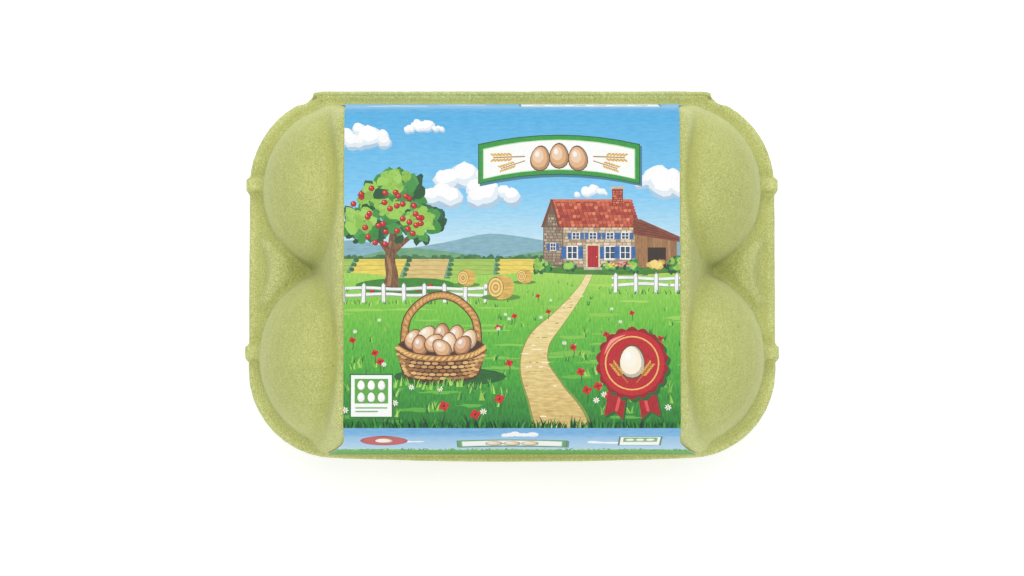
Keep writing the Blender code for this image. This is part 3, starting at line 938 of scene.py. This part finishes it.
def paint_fence(page):
    """A white fence of posts and two rails on each side of the way."""
    for start, end, foot in ((-47.5, -6.5, -8.2), (27.5, 48.5, -5.4)):
        for height in (1.5, 3.2):
            line = []
            u = start
            while u <= end:
                line.append((u, foot + height + 0.22 * math.sin(0.35 * u + height)))
                u += 2.4
            page.add(ribbon(line, 0.95), (150, 160, 150))
            page.add(ribbon([(a, b + 0.12) for a, b in line], 0.72), WHITE, (226, 230, 226), ACROSS)
        u = start + 1
        while u < end:
            lean = page.spread(-0.15, 0.15)
            page.add(
                [(u - 0.62, foot - 0.7), (u + 0.72, foot - 0.7), (u + 0.62 + lean, foot + 4.3),
                 (u + lean, foot + 5.0), (u - 0.55 + lean, foot + 4.3)], (140, 150, 142))
            page.add(
                [(u - 0.5, foot - 0.6), (u + 0.4, foot - 0.6), (u + 0.42 + lean, foot + 4.2),
                 (u + lean, foot + 4.75), (u - 0.45 + lean, foot + 4.2)], WHITE, (232, 235, 230), ALONG)
            u += 5.6
        u = start
        while u < end:
            tuft(page, u, foot - 1.1, page.spread(1.0, 2.0), 4)
            u += page.spread(1.0, 2.2)


def tuft(page, u, v, height, count, tones=None):
    """A few blades of grass from one root."""
    for _ in range(count):
        lean = page.spread(-0.55, 0.55) * height
        tall = height * page.spread(0.7, 1.15)
        wide = 0.1 + 0.07 * height
        root = u + page.spread(-0.5, 0.5) * height * 0.5
        tone = page.vary(page.random.choice(tones or BLADES), 0.12)
        page.add(
            [(root - wide, v), (root + wide, v), (root + wide * 0.6 + lean * 0.45, v + tall * 0.6),
             (root + lean, v + tall), (root - wide * 0.5 + lean * 0.4, v + tall * 0.6)], tone)


def twist(page, line, half_u, half_v, lean, first, second):
    """Strands of wicker wound round a line."""
    for (a, b), (c, d) in zip(line, line[1:]):
        page.oval(
            (a + c) / 2, (b + d) / 2, half_u, half_v, first, second,
            turn=math.atan2(d - b, c - a) + lean, steps=8)


def paint_basket(page, u, v):
    """A wicker basket full of brown eggs."""
    page.oval(u + 2.5, v - 7.2, 15.5, 2.6, (34, 104, 40), (26, 88, 36), ACROSS, steps=20)
    handle = curve(bow(u, v, (10.2, 0.5), (9.4, 8.5), (5, 13.6), (0, 15.2)), closed=False, steps=5)
    page.add(ribbon(handle, 2.3), WICKER_LINE)
    page.add(ribbon(handle, 1.7), WICKER_DARK, WICKER)
    twist(page, handle, 0.78, 0.4, 0.7, WICKER_LIGHT, WICKER)
    page.oval(u, v + 0.8, 12.2, 3.6, WICKER_LINE, steps=22)
    page.oval(u, v + 0.8, 11.6, 3.1, (74, 46, 26), (56, 34, 20), steps=22)
    places = (
        (-7.6, 1.9), (-3.9, 3.0), (0.2, 3.4), (4.2, 3.0), (7.7, 1.9), (-5.8, 0.2), (-1.9, 0.9), (2.2, 0.9),
        (6.0, 0.2), (0.2, -0.6))
    for i, (shift_u, shift_v) in enumerate(places):
        tone = EGG_TONES[i % len(EGG_TONES)]
        page.egg(u + shift_u, v + shift_v + 1.2, 2.75, tone, turn=page.spread(-0.9, 0.9))
    body = bow(u, v, (12.1, 0.6), (11.2, -4.4), (9.4, -7.6), (4, -8.9), (0, -9.2))
    body = curve(body, closed=False, steps=3)
    front = curve(bow(u, v, (-12.1, 0.6), (-7.5, -1.9), (0, -2.7)), closed=False, steps=3)
    page.add(body + front[1:-1], WICKER_LINE, (70, 42, 22))
    for row in range(6):
        for step in range(17):
            across = -1 + 2 * (step + 0.5 * (row % 2)) / 16.5
            if abs(across) > 0.98:
                continue
            bulge = math.sqrt(max(0.0, 1 - across * across))
            wide = 12.0 - 0.42 * row
            place_u = u + wide * math.sin(across * math.pi / 2)
            place_v = v + 0.3 - 2.9 * bulge - 1.02 * row * (0.94 + 0.06 * bulge)
            tone = page.vary(page.random.choice((WICKER, WICKER_LIGHT, WICKER_DARK)), 0.1)
            page.oval(
                place_u, place_v, 0.95 * (0.35 + 0.65 * bulge), 0.42, tone, page.vary(tone, 0.15), steps=8,
                turn=0.2 * across)
    rim = curve(bow(u, v, (12.2, 0.9), (8, -1.4), (0, -2.3)), closed=False, steps=5)
    page.add(ribbon(rim, 2.0), WICKER_LINE)
    page.add(ribbon(rim, 1.5), WICKER, WICKER_DARK)
    twist(page, rim, 0.8, 0.32, 0.6, WICKER_LIGHT, (238, 196, 124))
    for step in range(14):
        tuft(page, u - 13 + 2 * step, v - 10.3 + 0.6 * math.sin(step), 2.6, 5)


def is_free(u, v):
    """Whether a flower can stand here, clear of the way and of the other things in the picture."""
    for (near_u, near_v), (far_u, far_v), wide in zip(WAY, WAY[1:], WAY_WIDTHS):
        middle = near_u + (far_u - near_u) * (v - near_v) / (far_v - near_v)
        if near_v <= v <= far_v and abs(u - middle) < wide / 2 + 1.4:
            return False
    return not (-34 < u < -5 and -32 < v < -6)


def paint_grass(page):
    """Blades and tufts that grow towards the front, with poppies and daisies among them."""
    for i in range(170):
        v = -3.5 - 37 * (i / 170) ** 0.9
        u = page.spread(-48, 48)
        near = -v / 42
        if is_free(u, v):
            tuft(page, u, v, 0.7 + 2.5 * near, 3 + int(3 * near))
    for i in range(84):
        v = -7 - 33 * (i / 84)
        u = page.spread(-47, 47)
        if not is_free(u, v):
            continue
        size = 0.3 + 0.75 * (-v / 42)
        if page.spread(0, 1) < 0.42:
            poppy(page, u, v, size * 1.3)
        else:
            daisy(page, u, v, size)


def poppy(page, u, v, size):
    """A red flower of four petals on a bent stalk."""
    stalk = [(u, v), (u + 0.3 * size, v - 1.8 * size), (u, v - 3.2 * size)]
    page.add(ribbon(stalk, 0.28 * size), (44, 112, 40))
    for turn in (0.3, 1.9, 3.4, 5.0):
        tone = page.vary((226, 38, 34), 0.1)
        page.oval(
            u + 0.5 * size * math.cos(turn), v + 0.42 * size * math.sin(turn), 0.72 * size, 0.58 * size, tone,
            (176, 18, 24), turn=turn, wobble=0.1, steps=8)
    page.oval(u, v, 0.26 * size, 0.24 * size, (40, 20, 24), steps=7)


def daisy(page, u, v, size):
    """A white flower of seven petals round a yellow middle."""
    page.add(ribbon([(u, v), (u - 0.2 * size, v - 2.6 * size)], 0.22 * size), (58, 128, 46))
    for step in range(7):
        turn = 2 * math.pi * step / 7 + u
        page.oval(
            u + 0.62 * size * math.cos(turn), v + 0.56 * size * math.sin(turn), 0.42 * size, 0.2 * size,
            WHITE, (232, 236, 240), turn=turn, steps=6)
    page.oval(u, v, 0.32 * size, 0.3 * size, (250, 206, 60), (236, 172, 40), steps=7)


def sprig(page, u, v, turn, size):
    """An ear of wheat."""
    stalk = [turned(u, v, far * size, 0, turn) for far in (0, 3.4, 7)]
    page.add(ribbon(stalk, 0.28 * size), (176, 132, 52))
    for step in range(6):
        along = (3.0 + 0.75 * step) * size
        for side in (-1, 1):
            angle = turn + side * 0.55
            root = turned(u, v, along, side * 0.36 * size, turn)
            page.oval(
                *turned(*root, 0.45 * size, 0, angle), 0.6 * size, 0.24 * size, (232, 188, 84),
                (206, 152, 56), turn=angle, steps=8)


def plaque(page, u, v, half_u, half_v, arch):
    """A white arched sign with a green border."""
    def shape(grow):
        points = []
        for side in (1, -1):
            for i in range(9):
                share = side * (i / 4 - 1)
                points.append((
                    u + (half_u + grow) * share, v + side * (half_v + grow) + arch * (1 - share**2)))
        return points
    page.shadow(shape(0.4), (66, 126, 150))
    page.add(shape(0.35), (24, 92, 44))
    page.add(shape(0.1), (52, 160, 66), (38, 142, 56))
    page.add(shape(-1.0), (196, 226, 178))
    page.add(shape(-1.25), WHITE, (244, 247, 243))


def paint_signs(page):
    """The sign in the sky, the rosette and the small panel."""
    plaque(page, 13, 29.5, 22, 5.2, 2.6)
    for shift, height in ((-5.2, 30.2), (5.2, 30.2), (0, 30.9)):
        page.egg(13 + shift, height + 0.9, 3.3, EGG_TONES[0], turn=0.12 * shift / 5)
    for side in (-1, 1):
        for turn, rise, size in ((-2, 31.6, 1.25), (-18, 30.4, 1.0)):
            lie = math.radians(turn if side > 0 else 180 - turn)
            sprig(page, 13 + side * 9.4, rise, lie, size)
    u, v = 33, -25.5
    for side in (-1, 1):
        corners = ((1.0, 5), (6.2, 6.4), (7.8, 14.6), (4.9, 13.2), (2.6, 15.4))
        tail = [(u + side * out, v - down) for out, down in corners]
        page.shadow(tail, (28, 94, 36))
        page.add(tail, (186, 22, 34), (150, 14, 26), ALONG)
        page.add(ribbon([(u + side * 2.6, v - 6), (u + side * 4.4, v - 13.2)], 0.8), (226, 84, 84))
    scallops = []
    for step in range(108):
        angle = 2 * math.pi * step / 108
        scallops.append(turned(u, v, 9.2 + 0.85 * abs(math.sin(9 * angle)), 0, angle))
    page.shadow(scallops, (30, 96, 38), 0.7)
    page.add(scallops, SILK_EDGE, (134, 10, 24))
    rings = (
        (8.9, SILK, SILK_SHADE), (7.5, (238, 196, 118), (226, 172, 92)), (7.1, (176, 16, 30), (196, 28, 40)))
    for radius, first, second in rings:
        page.oval(u, v, radius, radius, first, second, steps=32)
    shine = [(u - 7.6, v + 2.4), (u - 5.6, v + 6.0), (u - 1.8, v + 7.8)]
    page.add(stroke(shine, 0.1, 0.9, 0.1), (246, 150, 144))
    page.egg(u, v + 0.4, 4.4, PALE_EGG)
    for shift, turn in ((-1.2, 128), (1.2, 52)):
        sprig(page, u + shift, v - 5.4, math.radians(turn), 0.95)
    page.add(block(-44.6, -40.6, -32.6, -28.4), PANEL_EDGE)
    page.add(block(-44.2, -40.2, -33.0, -28.8), WHITE, (243, 246, 242))
    page.add(block(-43.2, -36.6, -34.0, -29.8), PANEL, PANEL_SHADE)
    for column in range(3):
        for row in range(2):
            page.egg(-41.4 + 2.8 * column, -34.9 + 3.3 * row, 1.4, WHITE_EGG, outline=PANEL_LINE)
    for row in range(2):
        page.add(block(-43.0, -38.0 - 1.0 * row, -34.2 - 2.6 * row, -37.6 - 1.0 * row), (130, 176, 116))


def flap_clouds(page, places, up):
    """Low clouds on a flap, heaped towards +v where up is 1 and towards -v where it is -1."""
    for u, v, size in places:
        for tone, rise in ((CLOUD, 0.0), (WHITE, 0.7)):
            for step in range(7):
                page.oval(
                    u + (step - 3) * 2.1 * size, v + up * (rise + page.spread(0, 1.6) * size),
                    page.spread(1.6, 2.6) * size, page.spread(1.0, 1.6) * size, tone, wobble=0.1)


def paint_front(page):
    """The flap at the front: sky, a sign, two small marks, and grass along the hem."""
    page.add(
        block(-SHEET_REACH, -80, SHEET_REACH, -43.4),
        by_height((-43, (112, 176, 226)), (-58, (150, 200, 234)), (-74, (196, 224, 238))),
        by_height((-43, (132, 190, 232)), (-58, (170, 211, 238)), (-74, (214, 234, 242))), ACROSS)
    flap_clouds(page, ((-31, -55.5, 0.8), (28, -56.5, 0.9), (2, -46.8, 0.6)), 1)
    plaque(page, 0, -57.5, 15, 4.6, 1.4)
    for shift in (-5, 0, 5):
        page.egg(shift, -56.6, 2.9, EGG_TONES[1])
    page.oval(-35.5, -53, 6.6, 6.6, SILK_EDGE, steps=28)
    page.oval(-35.5, -53, 5.9, 5.9, SILK, SILK_SHADE, steps=28)
    page.egg(-35.5, -52.8, 3.2, PALE_EGG)
    page.add(block(29.5, -59.5, 41.5, -47.0), PANEL_EDGE)
    page.add(block(30.0, -59.0, 41.0, -47.5), WHITE)
    page.add(block(30.8, -54.4, 40.2, -48.3), PANEL, PANEL_SHADE)
    for column in range(3):
        page.egg(32.7 + 2.8 * column, -51.4, 1.7, WHITE_EGG, outline=PANEL_LINE)
    land(page, (-66, -65, -66.4, -65.4, -66.2, -65.2, -66), -82, (94, 184, 60), (52, 140, 48), ALONG)
    for step in range(96):
        tuft(page, -49 + 1.03 * step, -66.6 + page.spread(-0.6, 0.6), page.spread(1.6, 3.4), 2)


def paint_back(page):
    """The flap at the back: sky blue, with clouds and a white panel of six eggs."""
    page.add(
        block(-SHEET_REACH, 43.8, SHEET_REACH, 80),
        by_height((80, (164, 208, 236)), (44, (84, 168, 220))), (104, 182, 226), ACROSS)
    page.add(block(2, 54, 42, 69), (40, 130, 60))
    page.add(block(2.6, 54.6, 41.4, 68.4), WHITE, (244, 247, 250))
    for column in range(6):
        page.egg(7.5 + 5.8 * column, 61.4, 2.2, EGG_TONES[column % 3], turn=math.pi)
    flap_clouds(page, ((-32, 58, 1.0), (-14, 65, 0.8)), -1)


def draw_page(seed):
    """The whole picture, from the far things to the near ones."""
    page = Print(seed)
    for paint in (
            paint_sky, paint_country, paint_meadow, paint_way, paint_house, paint_tree, paint_fence,
            paint_grass, paint_bales):
        paint(page)
    paint_basket(page, -19.5, -22.0)
    for step in range(84):
        tuft(page, -48 + 1.16 * step, -44.2, page.spread(2.4, 4.6), 4, FRONT_BLADES)
    paint_signs(page)
    paint_front(page)
    paint_back(page)
    return page


class Fold:
    """The paper's way over the lid, in millimetres: flat on top, round at the edges, then a flap."""

    def __init__(self):
        self.top = WRAP_HIGH.z / MM - PAPER_INSET
        self.radius = CROWN_RADIUS - PAPER_INSET
        self.middle = (WRAP_LOW.y + WRAP_HIGH.y) / 2 / MM
        hem_half = (WRAP_HIGH.y - WRAP_LOW.y) / 2 / MM - PAPER_INSET / math.cos(WALL_LEAN)
        rise = self.top - self.radius - WRAP_LOW.z / MM
        self.flat = hem_half - (self.radius + rise * math.sin(WALL_LEAN)) / math.cos(WALL_LEAN)
        self.bend = self.radius * (math.pi / 2 - WALL_LEAN)
        wall_top = self.top - self.radius + self.radius * math.sin(WALL_LEAN)
        self.wall = (wall_top - WRAP_LOW.z / MM) / math.cos(WALL_LEAN)

    def place(self, u, v, lift=0.0):
        """The point of the carton where the flat sheet's point (u, v) comes to lie."""
        side = -1 if v < 0 else 1
        along = abs(v)
        lean = WALL_LEAN
        if along <= self.flat:
            lean = math.pi / 2
        elif along <= self.flat + self.bend:
            lean = math.pi / 2 - (along - self.flat) / self.radius
        down = max(0.0, along - self.flat - self.bend)
        out = min(along, self.flat) + (self.radius + lift) * math.cos(lean) + down * math.sin(lean)
        up = self.top - self.radius + (self.radius + lift) * math.sin(lean) - down * math.cos(lean)
        return Vector((u, self.middle + side * out, up)) * MM

    def half_width(self, v):
        """Half the sheet's width, which grows down each flap."""
        flare = FLARE_FRONT if v < 0 else FLARE_BACK
        share = max(0.0, (abs(v) - self.flat - self.bend) / self.wall)
        return WRAP_HIGH.x / MM - FLARE_FRONT + flare * share**2

    def stations(self):
        """Places along v for the outline, closer together where the paper bends."""
        ends = (0.0, self.flat, self.flat + self.bend, self.flat + self.bend + self.wall)
        side = [
            low + (high - low) * step / BEND_STEPS
            for low, high in zip(ends, ends[1:]) for step in range(BEND_STEPS)] + [ends[-1]]
        return [-v for v in side[:0:-1]] + side


def fill_points(fold, cell):
    """Loose points inside the outline, so that no triangle of the sheet is long."""
    points = []
    far = fold.stations()[-1] - 0.4 * cell
    rows = int(2 * far / cell)
    for row in range(rows + 1):
        v = far * (2 * row / rows - 1)
        half = fold.half_width(v) - 0.4 * cell
        count = int(2 * half / cell)
        shift = 0.25 * (row % 2)
        points += [Vector((half * (2 * (i + shift) / (count + 0.5) - 1), v)) for i in range(count + 1)]
    return points


def triangles_inside(points, edges, faces):
    """The flat triangles inside the first face, each with the last face that it lies in."""
    flat, _, triangles, sources, _, owners = delaunay_2d_cdt(points, edges, faces, 0, 1e-5, True)
    kept = [(triangle, max(owner)) for triangle, owner in zip(triangles, owners) if 0 in owner]
    return flat, sources, [triangle for triangle, _ in kept], [owner for _, owner in kept]


def outline_of(triangles):
    """The points round the outside of the triangles, in order."""
    once = set()
    for a, b, c in triangles:
        once.update(((a, b), (b, c), (c, a)))
    after = {a: b for a, b in once if (b, a) not in once}
    loop = [min(after)]
    while after[loop[-1]] != loop[0]:
        loop.append(after[loop[-1]])
    return loop


def build_wrap(name, settings):
    """The folded sheet: a printed outer face, a plain inner face, and the cut edge between them."""
    fold = Fold()
    page = draw_page(settings.seed)
    right = [(fold.half_width(v), v) for v in fold.stations()]
    outline = right + [(-u, v) for u, v in reversed(right)]
    count = len(outline)
    points = [Vector(point) for point in outline]
    edges = [(i, count - 1 - i) for i in range(1, count // 2 - 1)]
    faces = [list(range(count))]
    for shape in page.shapes:
        faces.append(list(range(len(points), len(points) + len(shape[0]))))
        points += [Vector(point) for point in shape[0]]
    points += fill_points(fold, settings.cell / MM)
    flat, _, triangles, owners = triangles_inside(points, edges, faces)
    loop = outline_of(triangles)
    inner_points = [flat[i] for i in loop] + fill_points(fold, 2 * settings.cell / MM)
    inner_flat, sources, inner, _ = triangles_inside(inner_points, [], [list(range(len(loop)))])
    wave = settings.waviness / MM
    thickness = settings.thickness / MM

    def lift(point):
        spot = Vector((point[0], point[1], 0.0))
        return wave * (noise.noise(spot / 17) + 0.5 * noise.noise(spot / 6))

    vertices = [fold.place(*point, lift(point)) for point in flat]
    vertices += [fold.place(*point, lift(point) - thickness) for point in inner_flat]
    shift = len(flat)
    under = {
        source: i + shift for i, found in enumerate(sources) for source in found if source < len(loop)}
    polygons = list(triangles) + [tuple(i + shift for i in reversed(triangle)) for triangle in inner]
    for i, start in enumerate(loop):
        j = (i + 1) % len(loop)
        polygons.append((loop[j], start, under[i], under[j]))
    mesh = bpy.data.meshes.new(name)
    mesh.from_pydata(vertices, [], polygons)
    colour_sheet(mesh, page, list(flat) + list(inner_flat), triangles, owners)
    mesh.validate()
    obj = bpy.data.objects.new(name, mesh)
    bpy.context.scene.collection.objects.link(obj)
    pick(obj)
    bpy.ops.object.mode_set(mode="EDIT")
    bpy.ops.mesh.select_all(action="SELECT")
    bpy.ops.mesh.delete_loose()
    bpy.ops.object.mode_set(mode="OBJECT")
    bpy.ops.object.shade_smooth_by_angle(angle=math.radians(40))
    return obj


def colour_sheet(mesh, page, flat, triangles, owners):
    """Stores on each corner the print's two tones and their lie, and its place on the flat sheet."""
    count = len(mesh.loops)
    tones = np.ones((2, count, 4))
    tones[:, :, :3] = rgb(*WHITE)
    lies = np.full(count, MOTTLED)
    corner = 0
    shapes = [(None, by_height(*SKY), by_height(*SKY_STREAK), ACROSS)] + page.shapes
    plain = [[None if callable(tone) else rgb(*tone) for tone in shape[1:3]] for shape in shapes]
    for triangle, owner in zip(triangles, owners):
        for index in triangle:
            for side in (0, 1):
                tone = plain[owner][side] or rgb(*shapes[owner][1 + side](*flat[index]))
                tones[side, corner, :3] = tone
            lies[corner] = shapes[owner][3]
            corner += 1
    for side, name in enumerate(("tone_a", "tone_b")):
        mesh.attributes.new(name, "FLOAT_COLOR", "CORNER").data.foreach_set("color", tones[side].ravel())
    mesh.attributes.new("lie", "FLOAT", "CORNER").data.foreach_set("value", lies)
    used = np.empty(count, int)
    mesh.loops.foreach_get("vertex_index", used)
    places = np.array([tuple(point) for point in flat])[used]
    mesh.uv_layers.new(name="print").data.foreach_set("uv", places.ravel())
    # The outer face takes the left of this map's square, and the inner face and edge a strip beside it
    outer = 3 * len(triangles)
    sheet = 0.5 + 0.49 * places / np.abs(places).max()
    sheet[:, 0] -= 0.14
    sheet[outer:] = sheet[outer:] * (0.2, 0.9) + (0.8, 0.05)
    mesh.uv_layers.new(name="OFBake").data.foreach_set("uv", sheet.ravel())


def paper_material():
    """Coated paper, whose two printed tones mix in streaks like a painted picture."""
    shade = Shade("printed_paper")
    place = shade.add("ShaderNodeUVMap", uv_map="print").outputs["UV"]
    lie = shade.stored("lie")
    across = shade.noise(shade.stretched(place, (0.35, 1.6, 1.0)), 1.0, 3.0, 0.6)
    mottled = shade.noise(place, 1.3, 4.0, 0.6)
    along = shade.noise(shade.stretched(place, (2.6, 0.5, 1.0)), 1.0, 3.0, 0.6)
    streaks = shade.mix(shade.between(lie, ACROSS, MOTTLED), across, mottled)
    streaks = shade.mix(shade.between(lie, MOTTLED, ALONG), streaks, along)
    colour = shade.mix(
        shade.between(streaks, 0.36, 0.64), shade.stored("tone_a", "Color"), shade.stored("tone_b", "Color"))
    grain = shade.noise(place, 4.5, 3.0, 0.7)
    colour = shade.mix(shade.between(grain, 0.3, 0.7, 0.07, 0.0), colour, rgb(60, 60, 60))
    height = shade.noise(place, 0.45, 3.0, 0.5)
    return shade.finish(colour, height, 0.05 * MM, Roughness=0.45, Specular_IOR_Level=0.35)


class PrintWrap(bpy.types.Operator):
    """Makes the printed paper that is folded over the lid"""

    bl_idname = "egg_carton.print_wrap"
    bl_label = "Print Wrap"

    def execute(self, context):
        settings = context.scene.egg_carton_paper
        obj = build_wrap("wrap_sheet", settings)
        hand_over(obj, "wrap", paper_material())
        return {"FINISHED"}


def floor_material():
    """A pale matt floor that is nearly without shade."""
    shade = Shade("studio_floor")
    place = shade.add("ShaderNodeTexCoord").outputs["Object"]
    grain = shade.noise(place, 60.0, 2.0)
    colour = shade.mix(grain, (0.5, 0.5, 0.5), (0.54, 0.54, 0.54))
    shade.shader.inputs["Emission Color"].default_value = (1.0, 1.0, 1.0, 1.0)
    return shade.finish(colour, grain, 0.01 * MM, Roughness=0.9, Emission_Strength=0.62)


def soft_light(name, place, size, power):
    """A large soft light that faces the carton."""
    data = bpy.data.lights.new(name, "AREA")
    data.shape = "RECTANGLE"
    data.size, data.size_y = size
    data.energy = power
    light = bpy.data.objects.new(name, data)
    bpy.context.scene.collection.objects.link(light)
    light.location = place
    aim = Vector((0, 0, SEAM_Z)) - light.location
    light.rotation_euler = aim.to_track_quat("-Z", "Y").to_euler()


class SetStage(bpy.types.Operator):
    """Adds the pale floor, the soft lights and the camera"""

    bl_idname = "egg_carton.set_stage"
    bl_label = "Set Stage"

    def execute(self, context):
        settings = context.scene.egg_carton_stage
        scene = context.scene
        bpy.ops.object.select_all(action="DESELECT")
        bpy.ops.mesh.primitive_plane_add(size=FLOOR_SIZE, location=(0, 0, FLOOR_Z))
        floor = context.active_object
        floor.name = "studio_floor"
        floor.data.materials.append(floor_material())
        soft_light("light_above", (0.0, 0.2, 1.4), (0.7, 0.5), settings.key)
        soft_light("light_back", (0.0, 1.0, 0.75), (1.4, 0.5), settings.key * settings.back)
        soft_light("light_front", (0.0, -1.0, 0.75), (1.4, 0.5), settings.key * settings.front)
        world = bpy.data.worlds.new("studio")
        world.use_nodes = True
        background = world.node_tree.nodes["Background"]
        background.inputs["Color"].default_value = (1.0, 1.0, 1.0, 1.0)
        background.inputs["Strength"].default_value = settings.sky
        scene.world = world
        scene.view_settings.view_transform = "Standard"
        camera_data = bpy.data.cameras.new("camera")
        camera_data.sensor_width = 36.0
        camera_data.lens = settings.lens
        camera_data.clip_start = 0.01
        camera = bpy.data.objects.new("camera", camera_data)
        scene.collection.objects.link(camera)
        tilt = settings.tilt
        back = Vector((0, -math.sin(tilt), math.cos(tilt)))
        camera.location = CAMERA_AIM + back * settings.distance
        camera.rotation_euler = (tilt, 0, 0)
        scene.camera = camera
        return {"FINISHED"}


OPERATORS = (MouldLid, MouldTray, PrintWrap, SetStage)


class EggCartonPanel(bpy.types.Panel):
    """Lists the carton's pieces"""

    bl_idname = "VIEW3D_PT_egg_carton"
    bl_label = "Egg Carton"
    bl_space_type = "VIEW_3D"
    bl_region_type = "UI"
    bl_category = "Egg Carton"

    def draw(self, context):
        for step in OPERATORS:
            self.layout.operator(step.bl_idname)


CLASSES = (PulpSettings, PaperSettings, StageSettings, *OPERATORS, EggCartonPanel)


def register():
    for made in CLASSES:
        bpy.utils.register_class(made)
    bpy.types.Scene.egg_carton_pulp = PointerProperty(type=PulpSettings)
    bpy.types.Scene.egg_carton_paper = PointerProperty(type=PaperSettings)
    bpy.types.Scene.egg_carton_stage = PointerProperty(type=StageSettings)


def unregister():
    del bpy.types.Scene.egg_carton_stage
    del bpy.types.Scene.egg_carton_paper
    del bpy.types.Scene.egg_carton_pulp
    for made in reversed(CLASSES):
        bpy.utils.unregister_class(made)


def main():
    register()
    bpy.ops.egg_carton.mould_lid()
    bpy.ops.egg_carton.mould_tray()
    bpy.ops.egg_carton.print_wrap()
    bpy.ops.egg_carton.set_stage()


if __name__ == "__main__":
    main()
